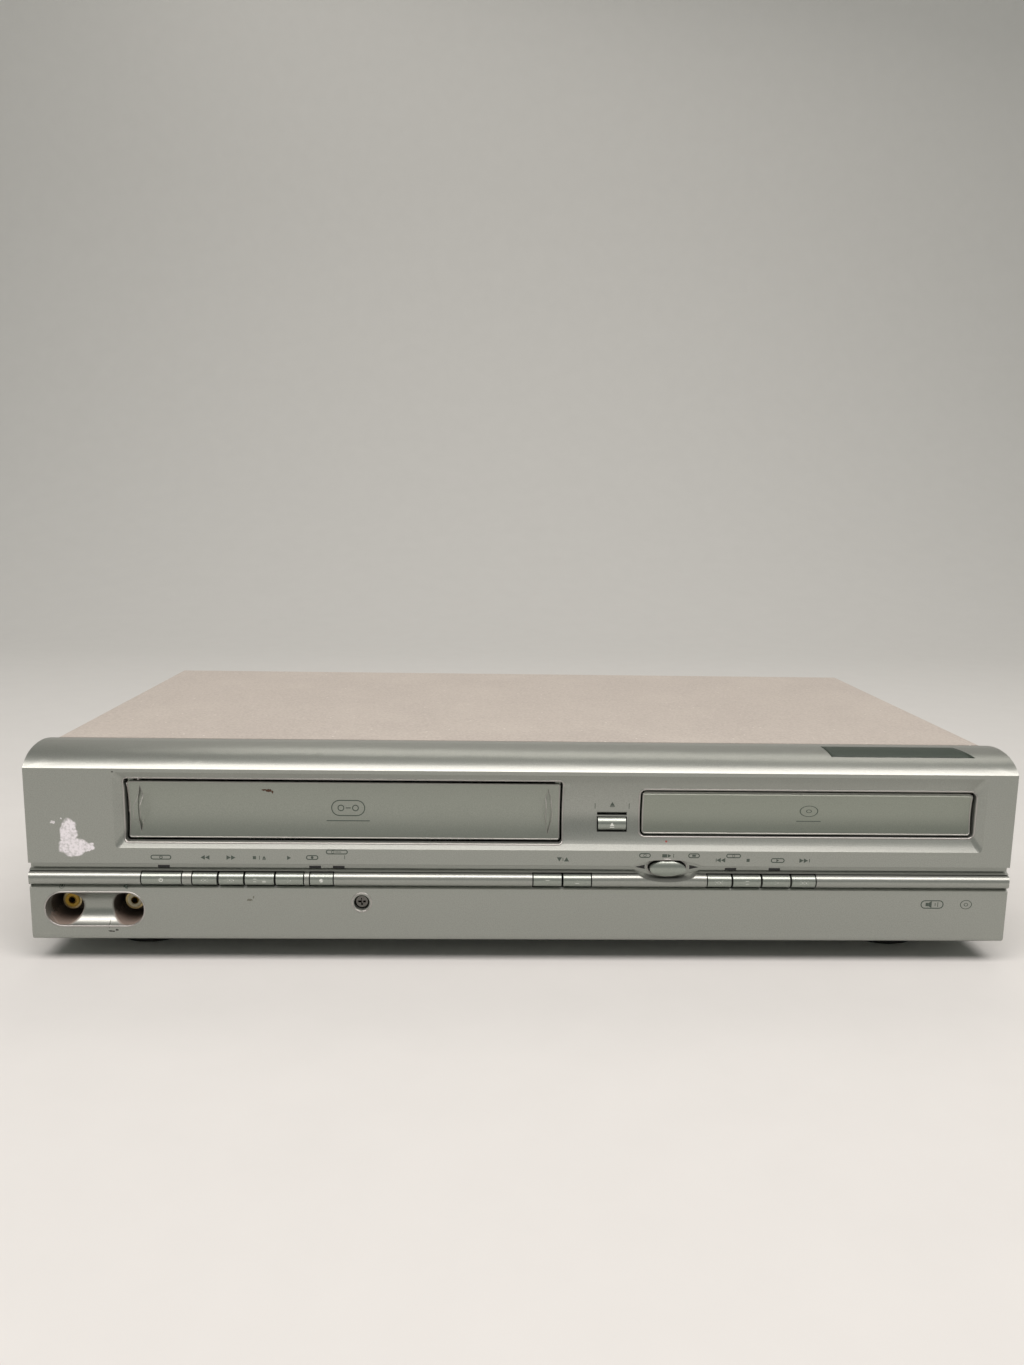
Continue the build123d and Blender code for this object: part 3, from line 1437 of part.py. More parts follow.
# Tape guides: a roller on a sliding foot, whose peg runs in the deck's slot
for name, hand in (("supply_guide", -1), ("takeup_guide", 1)):
    guide_x = deck_x + hand * guide_start[0]
    with BuildPart() as guide:
        with BuildSketch(level(deck_z + seat_gap)):
            with Locations((guide_x, guide_start[1])):
                RectangleRounded(11.0, 9.0, 2.0)
        extrude(amount=3.0)
        with BuildSketch(level(deck_z - deck_sheet - 1.0)):
            with Locations((guide_x, guide_start[1])):
                Circle(peg_radius)
        extrude(amount=deck_sheet + 2.0)
        with BuildSketch(Plane.XZ.offset(-guide_start[1])):
            with Locations((guide_x, 0)):
                Polygon(
                    (0, deck_z + 3.0),
                    (1.4, deck_z + 3.0),
                    (1.4, deck_z + 4.6),
                    (3.6, deck_z + 5.2),
                    (3.0, deck_z + 6.0),
                    (3.0, deck_z + 17.0),
                    (3.6, deck_z + 17.8),
                    (1.4, deck_z + 18.6),
                    (0, deck_z + 18.6),
                    align=None,
                )
        revolve(axis=Axis((guide_x, guide_start[1], 0), (0, 0, 1)))
    save(guide, name)

# Erase head on the left, sound and control head before the capstan, each on its own foot
with BuildPart() as tape_heads:
    for head_x, head_y, head_width in (
        (deck_x - 62.0, face_y + 148.0, 12.0),
        (deck_x + 54.0, face_y + 167.0, 10.0),
    ):
        with BuildSketch(level(deck_z)):
            with Locations((head_x, head_y)):
                RectangleRounded(head_width + 6.0, 12.0, 2.0)
        extrude(amount=3.0)
        with BuildSketch(level(deck_z + 3.0)):
            with Locations((head_x, head_y)):
                RectangleRounded(head_width, 7.0, 2.4)
        extrude(amount=19.0)
save(tape_heads, "tape_heads")

# ---------------------------------------------------------------- chassis, cover and back
chassis_half = cover_width / 2 - steel - seat_gap
chassis_front = face_y + floor_return
loader_posts = [
    (tray_x + across * (loader_half + 0.2), along)
    for across in (-1, 1)
    for along in (loader_front + 8.0, loader_front + loader_length - 8.0)
]
foot_places = [
    (across * foot_x, along)
    for across in (-1, 1)
    for along in (face_y + foot_inset, rear_y - foot_inset)
]

back_screws = [(across, cover_top_z - 6.0) for across in (-180.0, -20.0, 60.0, 180.0)]

with BuildPart() as bottom_chassis:
    with BuildSketch(level(foot_height)):
        with Locations((0, chassis_front)):
            Rectangle(2 * chassis_half, rear_y - steel - chassis_front, align=(Align.CENTER, Align.MIN))
        # Rows of cooling slots under the boards
        with GridLocations(12.0, 0, 9, 1):
            with Locations((110.0, 20.0)):
                SlotOverall(44.0, 3.0, rotation=90, mode=Mode.SUBTRACT)
    extrude(amount=steel)
    for hand in (-1, 1):
        with BuildSketch(side(hand * chassis_half)):
            with Locations((face_y + panel_return + seat_gap, foot_height)):
                Rectangle(
                    rear_y - steel - face_y - panel_return - seat_gap,
                    chassis_lip,
                    align=(Align.MIN, Align.MIN),
                )
        extrude(amount=-hand * steel)
    # Posts for the deck, the loader and the boards
    for places, top in (
        (deck_posts, deck_z - deck_sheet),
        (loader_posts, loader_base_z),
        (board_posts, board_z),
        (power_posts, board_z),
        (disc_board_posts, disc_board_z),
    ):
        with BuildSketch(level(foot_height)):
            with Locations(*places):
                Circle(post_radius)
        extrude(amount=top - foot_height)
    with BuildSketch(level(foot_height)):
        with Locations(*foot_places):
            Circle(1.6)
    extrude(amount=steel, mode=Mode.SUBTRACT)
    with BuildSketch(side(-chassis_half)):
        with Locations(*side_screws):
            Circle(screw_shank + screw_clear)
    extrude(amount=2 * chassis_half, mode=Mode.SUBTRACT)
save(bottom_chassis, "bottom_chassis")

# Round feet: a tapered cup with a screw seat in the middle
with BuildPart() as feet:
    for foot_place in foot_places:
        with BuildSketch(Plane.XZ.offset(-foot_place[1])):
            with Locations((foot_place[0], 0)):
                Polygon(
                    (1.7, 4.0),
                    (6.0, 4.0),
                    (8.0, 1.2),
                    (11.0, 0.0),
                    (foot_radius - 2.0, 0.0),
                    (foot_radius - 1.0, 0.9),
                    (foot_radius, foot_height),
                    (1.7, foot_height),
                    align=None,
                )
        revolve(axis=Axis((foot_place[0], foot_place[1], 0), (0, 0, 1)))
save(feet, "feet")

cover_front = face_y + panel_return + seat_gap
cover_back = rear_y + 1.0
cover_low_z = foot_height + 0.6
with BuildPart() as top_cover:
    with BuildSketch(Plane.XZ.offset(-cover_front)):
        with Locations((0, cover_low_z)):
            Rectangle(cover_width, cover_top_z - cover_low_z, align=(Align.CENTER, Align.MIN))
    extrude(amount=cover_front - cover_back)
    fillet(top_cover.edges().filter_by(Axis.Y).group_by(Axis.Z)[-1], radius=cover_bend)
    with BuildSketch(Plane.XZ.offset(-cover_front)):
        with Locations((0, cover_low_z)):
            Rectangle(
                cover_width - 2 * steel,
                cover_top_z - cover_low_z - steel,
                align=(Align.CENTER, Align.MIN),
            )
    extrude(amount=cover_front - cover_back, mode=Mode.SUBTRACT)
    # Rear flange, folded down over the top of the rear panel
    with BuildSketch(Plane.XZ.offset(-cover_back)):
        with Locations((0, cover_top_z - steel)):
            Rectangle(cover_width - 2 * steel - 4.0, 9.0, align=(Align.CENTER, Align.MAX))
    extrude(amount=steel)
    # Vent slots through both sides, towards the back
    with BuildSketch(side(-cover_width / 2)):
        with Locations((28.0, 66.0), (28.0, 42.0)):
            with GridLocations(vent_pitch, 0, int(vent_count), 1):
                SlotOverall(18.0, 3.0, rotation=90)
        with Locations(*side_screws):
            Circle(screw_shank + screw_clear)
    extrude(amount=cover_width, mode=Mode.SUBTRACT)
    with BuildSketch(Plane.XZ.offset(-cover_back)):
        with Locations(*back_screws):
            Circle(screw_shank + screw_clear)
    extrude(amount=steel, mode=Mode.SUBTRACT)
save(top_cover, "top_cover")

# Rear panel, with openings for the sockets, a row of vents and the cord's bush
rear_low_z = foot_height + steel
rear_high_z = cover_top_z - steel - seat_gap
antenna_x = -panel_width / 2 + antenna_inset
cord_x = panel_width / 2 - cord_inset
phono_places = [
    (first_x + column * phono_pitch_x, first_z + row * phono_pitch_z)
    for first_x, columns, first_z, rows in phono_groups
    for column in range(columns)
    for row in range(rows)
]
with BuildPart() as rear_panel:
    with BuildSketch(Plane.XZ.offset(-rear_y)):
        with Locations((0, rear_low_z)):
            Rectangle(
                2 * chassis_half - 2 * steel - 0.4,
                rear_high_z - rear_low_z,
                align=(Align.CENTER, Align.MIN),
            )
        with Locations(*phono_places):
            Circle(phono_radius + phono_clear, mode=Mode.SUBTRACT)
        with Locations(*[(antenna_x, z) for z in antenna_zs]):
            Circle(antenna_bore, mode=Mode.SUBTRACT)
        with Locations((video_x, video_z)):
            Circle(5.0, mode=Mode.SUBTRACT)
        with Locations((cord_x, cord_z)):
            Circle(cord_bore, mode=Mode.SUBTRACT)
        with Locations((panel_width / 2 - back_vent_inset, back_vent_z)):
            with GridLocations(back_vent_pitch, 0, int(back_vent_count), 1):
                SlotOverall(back_vent_length, back_vent_width, rotation=90, mode=Mode.SUBTRACT)
        with Locations(*back_screws):
            Circle(screw_shank + screw_clear, mode=Mode.SUBTRACT)
    extrude(amount=steel)
save(rear_panel, "rear_panel")

# Phono sockets of the back: a housing inside with a barrel through each hole; one round S-video
# socket stands in the same row
with BuildPart() as rear_sockets:
    for first_x, columns, first_z, rows in phono_groups:
        with BuildSketch(Plane.XZ.offset(steel - rear_y)):
            with Locations(
                (
                    first_x + (columns - 1) * phono_pitch_x / 2,
                    first_z + (rows - 1) * phono_pitch_z / 2,
                )
            ):
                Rectangle(columns * phono_pitch_x - 2.0, rows * phono_pitch_z - 4.0)
        extrude(amount=11.0)
    with BuildSketch(Plane.XZ.offset(steel - rear_y)):
        with Locations((video_x, video_z)):
            Rectangle(14.0, 14.0)
    extrude(amount=11.0)
    with BuildSketch(Plane.XZ.offset(steel - rear_y)):
        with Locations(*phono_places):
            Circle(phono_radius + phono_shoulder)
        with Locations((video_x, video_z)):
            Circle(4.6)
    extrude(amount=-steel)
    with BuildSketch(Plane.XZ.offset(-rear_y)):
        with Locations(*phono_places):
            Circle(phono_radius)
        with Locations((video_x, video_z)):
            Circle(4.6)
    extrude(amount=-socket_reach)
    with BuildSketch(Plane.XZ.offset(-rear_y - socket_reach)):
        with Locations(*phono_places):
            Circle(1.7)
        with Locations((video_x, video_z)):
            Circle(3.4)
    extrude(amount=socket_reach + steel + 1.0, mode=Mode.SUBTRACT)
save(rear_sockets, "rear_sockets")

# Tuner can behind the panel, with two threaded F sockets through it
with BuildPart() as antenna_unit:
    with BuildSketch(Plane.XZ.offset(steel - rear_y)):
        with Locations((antenna_x, (antenna_zs[0] + antenna_zs[1]) / 2)):
            Rectangle(22.0, 52.0)
    extrude(amount=46.0)
    with BuildSketch(Plane.XZ.offset(steel - rear_y)):
        with Locations(*[(antenna_x, z) for z in antenna_zs]):
            Circle(f_radius)
    extrude(amount=-steel - socket_reach)
    with BuildSketch(Plane.XZ.offset(-rear_y)):
        with Locations(*[(antenna_x, z) for z in antenna_zs]):
            RegularPolygon(5.5, 6, major_radius=True)
    extrude(amount=-1.6)
    with BuildSketch(Plane.XZ.offset(-rear_y - socket_reach)):
        with Locations(*[(antenna_x, z) for z in antenna_zs]):
            Circle(1.2)
    extrude(amount=5.0, mode=Mode.SUBTRACT)
save(antenna_unit, "antenna_unit")

# Moulded bush for the mains cord: flange outside, waist in the hole, snap ring inside
with BuildPart() as cord_bush:
    with BuildSketch(side(cord_x)):
        with Locations((0, cord_z)):
            Polygon(
                (rear_y - steel - 3.0, 2.6),
                (rear_y - steel - 3.0, cord_bore - 0.3),
                (rear_y - steel - seat_gap / 2, cord_bore + 0.8),
                (rear_y - steel - seat_gap / 2, cord_bore - 0.2),
                (rear_y + seat_gap / 2, cord_bore - 0.2),
                (rear_y + seat_gap / 2, cord_bore + 1.6),
                (rear_y + 2.4, cord_bore + 1.2),
                (rear_y + 5.0, 4.2),
                (rear_y + 5.0, 2.6),
                align=None,
            )
    revolve(axis=Axis((cord_x, 0, cord_z), (0, 1, 0)))
save(cord_bush, "cord_bush")

# ---------------------------------------------------------------- front board and sockets
key_centres = [((left + right) / 2, band_z) for name, left, right in band_keys]
with BuildPart() as front_board:
    with BuildSketch(behind(board_depth)):
        with Locations(((board_left_x + board_right_x) / 2, (board_low_z + board_top_z) / 2)):
            Rectangle(board_right_x - board_left_x, board_top_z - board_low_z)
        with Locations((eject_x, board_low_z)):
            Rectangle(18.0, eject_high_z + 2.0 - board_low_z, align=(Align.CENTER, Align.MIN))
    extrude(amount=-board_thickness)
    # Tact switches, one behind each key
    with BuildSketch(behind(board_depth)):
        with Locations(*key_centres, (oval_x, oval_z - 1.2)):
            Rectangle(6.0, 6.0)
    extrude(amount=switch_height - 0.9)
    with BuildSketch(behind(board_depth)):
        with Locations(*key_centres, (oval_x, oval_z - 1.2)):
            Circle(1.7)
    extrude(amount=switch_height)
save(front_board, "front_board")

with BuildPart() as front_sockets:
    with BuildSketch(behind(well_floor + 2.0)):
        with Locations((well_left_x, well_z), (well_right_x, well_z)):
            Rectangle(12.0, 13.0)
    extrude(amount=-7.0)
    with BuildSketch(behind(well_floor + 2.0)):
        with Locations((well_left_x, well_z), (well_right_x, well_z)):
            Circle(phono_radius + phono_shoulder)
    extrude(amount=2.0)
    with BuildSketch(behind(well_floor)):
        with Locations((well_left_x, well_z), (well_right_x, well_z)):
            Circle(phono_radius)
    extrude(amount=well_floor - phono_tip_depth)
    with BuildSketch(behind(phono_tip_depth)):
        with Locations((well_left_x, well_z), (well_right_x, well_z)):
            Circle(1.7)
    extrude(amount=-9.0, mode=Mode.SUBTRACT)
save(front_sockets, "front_sockets")

# ---------------------------------------------------------------- boards inside
deck_post_clear = post_radius + 0.6
main_board_y = face_y + main_board_front_gap
component_z = board_z + board_thickness
with BuildPart() as main_board:
    with BuildSketch(level(board_z)):
        with Locations((deck_x - main_board_shift, main_board_y)):
            Rectangle(
                main_board_width,
                rear_y - main_board_back_gap - main_board_y,
                align=(Align.CENTER, Align.MIN),
            )
        with Locations(*deck_posts):
            Circle(deck_post_clear, mode=Mode.SUBTRACT)
    extrude(amount=board_thickness)
    # Chips, a connector and two capacitors
    with BuildSketch(level(component_z)):
        with Locations((deck_x - 70.0, -30.0), (deck_x + 20.0, -60.0)):
            Rectangle(large_chip, large_chip)
        with Locations((deck_x - 30.0, 30.0)):
            Rectangle(connector_length, small_part)
        with Locations((deck_x + 104.0, 40.0), (deck_x + 104.0, 0.0)):
            Circle(small_capacitor_radius)
    extrude(amount=chip_height)
save(main_board, "main_board")

with BuildPart() as disc_board:
    with BuildSketch(level(disc_board_z)):
        with Locations((tray_x, disc_board_y)):
            Rectangle(disc_board_width, disc_board_length)
    extrude(amount=board_thickness)
    # The decoder chip and two smaller ones
    with BuildSketch(level(disc_board_z + board_thickness)):
        with Locations((tray_x - 10.0, 0.0)):
            Rectangle(decoder_chip, decoder_chip)
        with Locations((tray_x + 34.0, 10.0), (tray_x - 44.0, 30.0)):
            Rectangle(small_chip_length, small_part)
    extrude(amount=flat_chip_height)
save(disc_board, "disc_board")

power_x = panel_width / 2 - power_board_inset
power_y = rear_y - power_board_back_gap
with BuildPart() as power_board:
    with BuildSketch(level(board_z)):
        with Locations((power_x, power_y)):
            Rectangle(power_board_width, power_board_depth)
    extrude(amount=board_thickness)
    # Transformer, reservoir capacitors and a finned heat sink
    with BuildSketch(level(component_z)):
        with Locations((power_x - 14.0, power_y + 2.0)):
            RectangleRounded(transformer_width, transformer_depth, 3.0)
    extrude(amount=transformer_height)
    with BuildSketch(level(component_z)):
        with Locations((power_x + 18.0, power_y + 2.0), (power_x + 32.0, power_y - 10.0)):
            Circle(capacitor_radius)
    extrude(amount=capacitor_height)
    with BuildSketch(level(component_z)):
        with Locations((power_x - 42.0, power_y)):
            Rectangle(sink_web, transformer_depth)
            with GridLocations(0, sink_fin_pitch, 1, sink_fin_count):
                Rectangle(sink_fin_length, sink_fin)
    extrude(amount=sink_height)
save(power_board, "power_board")

# Screws for the cover's sides and back and for the front's lower face, each with a crowned head
# and a cross recess.
screw_seats = (
    [Plane(origin=(-cover_width / 2, y, z), z_dir=(-1, 0, 0)) for y, z in side_screws]
    + [Plane(origin=(cover_width / 2, y, z), z_dir=(1, 0, 0)) for y, z in side_screws]
    + [Plane(origin=(x, cover_back, z), z_dir=(0, 1, 0)) for x, z in back_screws]
    + [Plane(origin=(screw_x, face_y + screw_seat_depth, screw_z), z_dir=(0, -1, 0))]
)
with BuildPart() as screws:
    for seat in screw_seats:
        with BuildSketch(seat):
            Circle(screw_head_radius)
        extrude(amount=screw_head_height - screw_crown)
        with BuildSketch(seat.offset(screw_head_height - screw_crown)):
            Circle(screw_head_radius)
        extrude(amount=screw_crown, taper=crown_slope)
        with BuildSketch(seat):
            Circle(screw_shank)
        extrude(amount=-screw_reach)
        with BuildSketch(seat.offset(screw_head_height)):
            Rectangle(recess_length, recess_width)
            Rectangle(recess_width, recess_length)
        extrude(amount=-recess_depth, taper=recess_slope, mode=Mode.SUBTRACT)
save(screws, "screws")
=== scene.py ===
import math

import bmesh
import bpy
from mathutils import Matrix, Vector


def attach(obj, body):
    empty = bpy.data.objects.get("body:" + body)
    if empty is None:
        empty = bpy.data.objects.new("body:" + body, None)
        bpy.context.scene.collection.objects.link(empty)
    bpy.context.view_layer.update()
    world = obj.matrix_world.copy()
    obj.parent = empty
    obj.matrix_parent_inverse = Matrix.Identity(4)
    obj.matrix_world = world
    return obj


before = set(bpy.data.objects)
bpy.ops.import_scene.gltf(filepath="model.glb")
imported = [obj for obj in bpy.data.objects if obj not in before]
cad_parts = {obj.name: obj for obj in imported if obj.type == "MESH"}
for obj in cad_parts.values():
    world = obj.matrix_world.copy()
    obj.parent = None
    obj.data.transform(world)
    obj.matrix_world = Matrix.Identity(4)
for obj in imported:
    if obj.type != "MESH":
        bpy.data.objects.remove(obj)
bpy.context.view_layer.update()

# ---- Front panel
# One injection moulding in ABS, sprayed with a silver metallic lacquer. It clips over the front of
# the chassis. The lacquer's aluminium flake gives a soft satin sheen with a fine sparkle.


def linear(code):
    """The linear colour of an sRGB hex code."""
    parts = [int(code[i : i + 2], 16) / 255 for i in (1, 3, 5)]
    return [p / 12.92 if p <= 0.04045 else ((p + 0.055) / 1.055) ** 2.4 for p in parts] + [1.0]


def add(tree, kind, sockets=None, **options):
    """A shader node: options are its own settings, sockets holds values or the outputs that feed it."""
    made = tree.nodes.new("ShaderNode" + kind)
    for name, value in options.items():
        setattr(made, name, value)
    for name, value in (sockets or {}).items():
        if isinstance(value, bpy.types.NodeSocket):
            tree.links.new(value, made.inputs[name])
        else:
            made.inputs[name].default_value = value
    return made


def surface(name, **sockets):
    """A node material: its tree, its main shader and the place on the object, in metres."""
    made = bpy.data.materials.new(name)
    made.use_nodes = True
    tree = made.node_tree
    shader = tree.nodes["Principled BSDF"]
    for socket, value in sockets.items():
        shader.inputs[socket.replace("_", " ")].default_value = value
    place = add(tree, "TexCoord").outputs["Object"]
    return made, tree, shader, place


def grained(name, colour, other, grain_mm, bump_mm=0.0, **sockets):
    """A surface whose colour wanders between two shades, with a grain of a real size and its relief."""
    made, tree, shader, place = surface(name, **sockets)
    grain = add(
        tree,
        "TexNoise",
        {"Vector": place, "Scale": 1000.0 / grain_mm, "Detail": 3.0, "Roughness": 0.55},
    )
    spread = add(
        tree,
        "MapRange",
        {"Value": grain.outputs["Fac"], "From Min": 0.15, "From Max": 0.85},
    )
    tint = add(
        tree,
        "Mix",
        {"Factor": spread.outputs["Result"], "A": linear(colour), "B": linear(other)},
        data_type="RGBA",
    )
    tree.links.new(tint.outputs["Result"], shader.inputs["Base Color"])
    if bump_mm:
        relief = add(
            tree,
            "Bump",
            {"Height": grain.outputs["Fac"], "Strength": 0.6, "Distance": bump_mm / 1000},
        )
        tree.links.new(relief.outputs["Normal"], shader.inputs["Normal"])
    return made, tree, shader, place


def clad(material, *nodes):
    """Give CAD nodes a finish, leaving their meshes as they are."""
    for node in nodes:
        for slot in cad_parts[node].material_slots:
            slot.material = material


def blot(tree, place, x, z, wide, tall, ragged_mm, ragged):
    """A mask, 1 inside a ragged spot on the front round (x, z), sizes in millimetres."""
    rough = add(tree, "TexNoise", {"Vector": place, "Scale": 1000.0 / ragged_mm, "Detail": 4.0})
    push = add(tree, "VectorMath", {0: rough.outputs["Color"], 1: (0.5, 0.5, 0.5)}, operation="SUBTRACT")
    shove = add(tree, "VectorMath", {0: push.outputs[0], "Scale": ragged / 1000}, operation="SCALE")
    moved = add(tree, "VectorMath", {0: place, 1: shove.outputs[0]}, operation="ADD")
    near = add(
        tree,
        "VectorMath",
        {0: moved.outputs[0], 1: (x / 1000, 0, z / 1000)},
        operation="SUBTRACT",
    )
    shaped = add(
        tree,
        "VectorMath",
        {0: near.outputs[0], 1: (2000 / wide, 0, 2000 / tall)},
        operation="MULTIPLY",
    )
    away = add(tree, "VectorMath", {0: shaped.outputs[0]}, operation="LENGTH")
    return add(
        tree,
        "MapRange",
        {"Value": away.outputs["Value"], "From Min": 1.08, "From Max": 0.92},
    ).outputs["Result"]


def stain(tree, shader, mask, colour, rough):
    """Lay another colour and roughness over what feeds the shader, where a mask says."""
    for socket, kind, value in (
        ("Base Color", "RGBA", linear(colour)),
        ("Roughness", "FLOAT", rough),
        ("Metallic", "FLOAT", 0.0),
    ):
        target = shader.inputs[socket]
        before = target.links[0].from_socket if target.links else target.default_value
        mixed = add(tree, "Mix", {"Factor": mask, "A": before, "B": value}, data_type=kind)
        tree.links.new(mixed.outputs["Result"], target)


def both(tree, one, other):
    """The product of two masks."""
    return add(tree, "Math", {0: one, 1: other}, operation="MULTIPLY").outputs[0]


def behind_depth(tree, place, y, low_z=-1000.0, high_z=1000.0, half_x=1000.0):
    """A mask, 1 behind the upright plane at y, between two heights and two sides, in millimetres."""
    parts = add(tree, "SeparateXYZ", {"Vector": place})
    sideways = add(tree, "Math", {0: parts.outputs["X"]}, operation="ABSOLUTE")
    mask = add(tree, "Math", {0: parts.outputs["Y"], 1: y / 1000}, operation="GREATER_THAN").outputs[0]
    for value, limit, test in (
        (parts.outputs["Z"], low_z, "GREATER_THAN"),
        (parts.outputs["Z"], high_z, "LESS_THAN"),
        (sideways.outputs[0], half_x, "LESS_THAN"),
    ):
        inside = add(tree, "Math", {0: value, 1: limit / 1000}, operation=test).outputs[0]
        mask = both(tree, mask, inside)
    return mask


def within(tree, place, low_x, high_x, low_z, high_z):
    """A mask, 1 inside an upright window of the front, in millimetres."""
    parts = add(tree, "SeparateXYZ", {"Vector": place})
    mask = None
    for axis, limit, test in (
        ("X", low_x, "GREATER_THAN"),
        ("X", high_x, "LESS_THAN"),
        ("Z", low_z, "GREATER_THAN"),
        ("Z", high_z, "LESS_THAN"),
    ):
        inside = add(tree, "Math", {0: parts.outputs[axis], 1: limit / 1000}, operation=test).outputs[0]
        mask = both(tree, mask, inside) if mask else inside
    return mask


def either(tree, *masks):
    """The strongest of several masks."""
    joined = masks[0]
    for mask in masks[1:]:
        joined = add(tree, "Math", {0: joined, 1: mask}, operation="MAXIMUM").outputs[0]
    return joined


face_y = -117.4
# Black of the bare moulding, used also as painted shade in the gaps
bare_abs_and_gap_shade = "#1b1c1a"
# The oval key and the socket wells, and the windows of the other keys: left, right, low, high
oval_x, oval_z, oval_wide, oval_tall = 63.0, 44.7, 17.1, 7.9
well_xs, well_z, well_wide = (-203.7, -175.9), 24.8, 15.3
band_low_z, band_high_z = 35.6, 42.5
key_windows = [
    (left, right, band_low_z, band_high_z)
    for left, right in ((-168.5, -151.4), (-146.4, -98.2), (-95.1, -85.2), (3.3, 28.8), (81.0, 129.3))
]
key_windows.append((31.8, 44.2, 60.55, 67.05))
gap_wide, gap_tall = 0.52, 0.08
# The flake measures some 0.03 mm, too fine to show, so here and on the doors, lips and keys its
# grain is drawn at about 0.4 mm: a satin grey that sparkles faintly
lacquer, lacquer_tree, lacquer_shader, lacquer_place = grained(
    "abs_silver_metallic_lacquer",
    "#8f928c",
    "#a6a9a3",
    0.45,
    bump_mm=0.012,
    Metallic=0.8,
    Roughness=0.33,
    IOR=1.5,
    Coat_Weight=0.12,
    Coat_Roughness=0.3,
)
# The spray reaches only the outside, so the moulding is bare and black within its openings.
# The same black, carried a little past the key windows onto the face, is painted shade for the
# gaps round the keys, the oval key and the doors
unsprayed_and_gap_shade = [
    behind_depth(lacquer_tree, lacquer_place, face_y + 6.4, low_z=12.0, high_z=87.4, half_x=213.0),
    blot(lacquer_tree, lacquer_place, oval_x, oval_z, oval_wide, oval_tall, 1.0, 0.0),
]
for left, right, low, high in key_windows:
    sides = (left - gap_wide, right + gap_wide, low - gap_tall, high + gap_tall)
    unsprayed_and_gap_shade.append(within(lacquer_tree, lacquer_place, *sides))
stain(lacquer_tree, lacquer_shader, either(lacquer_tree, *unsprayed_and_gap_shade), bare_abs_and_gap_shade, 0.5)
# Dull, grubby walls of the two socket wells. Their lower part, which faces up, is painted
# lighter: mottled dirt together with painted light
for well_x in well_xs:
    walls = blot(lacquer_tree, lacquer_place, well_x, well_z, well_wide, well_wide, 2.0, 0.0)
    deep = behind_depth(lacquer_tree, lacquer_place, face_y + 0.5, low_z=10.0, high_z=34.0)
    grubby = both(lacquer_tree, walls, deep)
    stain(lacquer_tree, lacquer_shader, grubby, "#5a5048", 0.75)
    dirt_and_lit_lower_wall = blot(lacquer_tree, lacquer_place, well_x, 20.5, 13.0, 9.0, 1.3, 7.0)
    stain(lacquer_tree, lacquer_shader, both(lacquer_tree, dirt_and_lit_lower_wall, grubby), "#857468", 0.85)
# Torn remains of a paper label, scuffed through in places, with crumbs beside it
torn = either(
    lacquer_tree,
    blot(lacquer_tree, lacquer_place, -199.2, 59.6, 7.4, 12.6, 3.0, 3.4),
    blot(lacquer_tree, lacquer_place, -197.6, 53.4, 12.0, 8.4, 3.0, 3.4),
    blot(lacquer_tree, lacquer_place, -192.6, 53.4, 8.0, 4.6, 2.0, 3.0),
    blot(lacquer_tree, lacquer_place, -206.0, 64.6, 2.0, 1.5, 1.0, 1.6),
    blot(lacquer_tree, lacquer_place, -202.2, 66.2, 0.9, 0.8, 0.8, 0.8),
)
scuffs = add(lacquer_tree, "TexNoise", {"Vector": lacquer_place, "Scale": 1000 / 1.1, "Detail": 5.0})
left_on = add(
    lacquer_tree,
    "MapRange",
    {"Value": scuffs.outputs["Fac"], "From Min": 0.33, "From Max": 0.55, "To Min": 0.55},
).outputs["Result"]
stain(lacquer_tree, lacquer_shader, both(lacquer_tree, torn, left_on), "#e9e5e9", 0.8)
# Small marks: where, how wide and tall, and of what colour
for spot_x, spot_z, wide, tall, colour in (
    (62.2, 56.7, 0.9, 0.9, "#8a3b30"),
    (-182.8, 14.7, 2.6, 0.8, "#26241f"),
    (-180.6, 15.2, 1.2, 0.9, "#26241f"),
    (-184.0, 17.6, 0.3, 3.0, "#3d3a33"),
    (-121.8, 29.4, 2.6, 0.9, "#6a6a5f"),
    (-120.2, 30.6, 0.8, 1.4, "#6a6a5f"),
    (-179.3, 87.2, 0.9, 0.6, "#2c2a26"),
):
    spot = blot(lacquer_tree, lacquer_place, spot_x, spot_z, wide, tall, 0.9, 1.1)
    stain(lacquer_tree, lacquer_shader, spot, colour, 0.55)
clad(lacquer, "front_panel")

# ---- Printing on the panel
# Thin grey ink, pad printed on the lacquer: outlined lozenges and plain signs above the keys and
# beside the front sockets.
# Both inks are dry and matt, a little uneven where the pad lifted
ink, *_ = grained("pad_printed_grey_ink", "#3c463f", "#48524a", 0.6, Roughness=0.55, IOR=1.5)
pale_ink, *_ = grained("pad_printed_pale_ink", "#d3d5cf", "#dddfd9", 0.6, Roughness=0.5, IOR=1.5)
ink_lift, ink_sink = 0.03, 0.04
ink_stroke = 0.45
power_stroke = 0.3


def lozenge(x, z, wide, tall, stroke=ink_stroke):
    """An outline with round ends."""
    loops = []
    for shrink in (0.0, stroke):
        half, radius = wide / 2 - tall / 2, tall / 2 - shrink
        loop = []
        for end, first in ((1, -90), (-1, 90)):
            for step in range(13):
                turn = math.radians(first + step * 15)
                loop.append((x + end * half + radius * math.cos(turn), z + radius * math.sin(turn)))
        loops.append(loop)
    return tuple(loops)


def ring(x, z, radius, stroke=ink_stroke, squash=1.0):
    """A round outline."""
    turns = [math.tau * k / 32 for k in range(32)]
    return tuple(
        [(x + r * math.cos(t), z + squash * r * math.sin(t)) for t in turns]
        for r in (radius, radius - stroke)
    )


def filled(*points):
    """A solid shape."""
    return (list(points), None)


def bar(x, z, wide, tall):
    """A rectangle."""
    left, right, low, high = x - wide / 2, x + wide / 2, z - tall / 2, z + tall / 2
    return filled((left, low), (right, low), (right, high), (left, high))


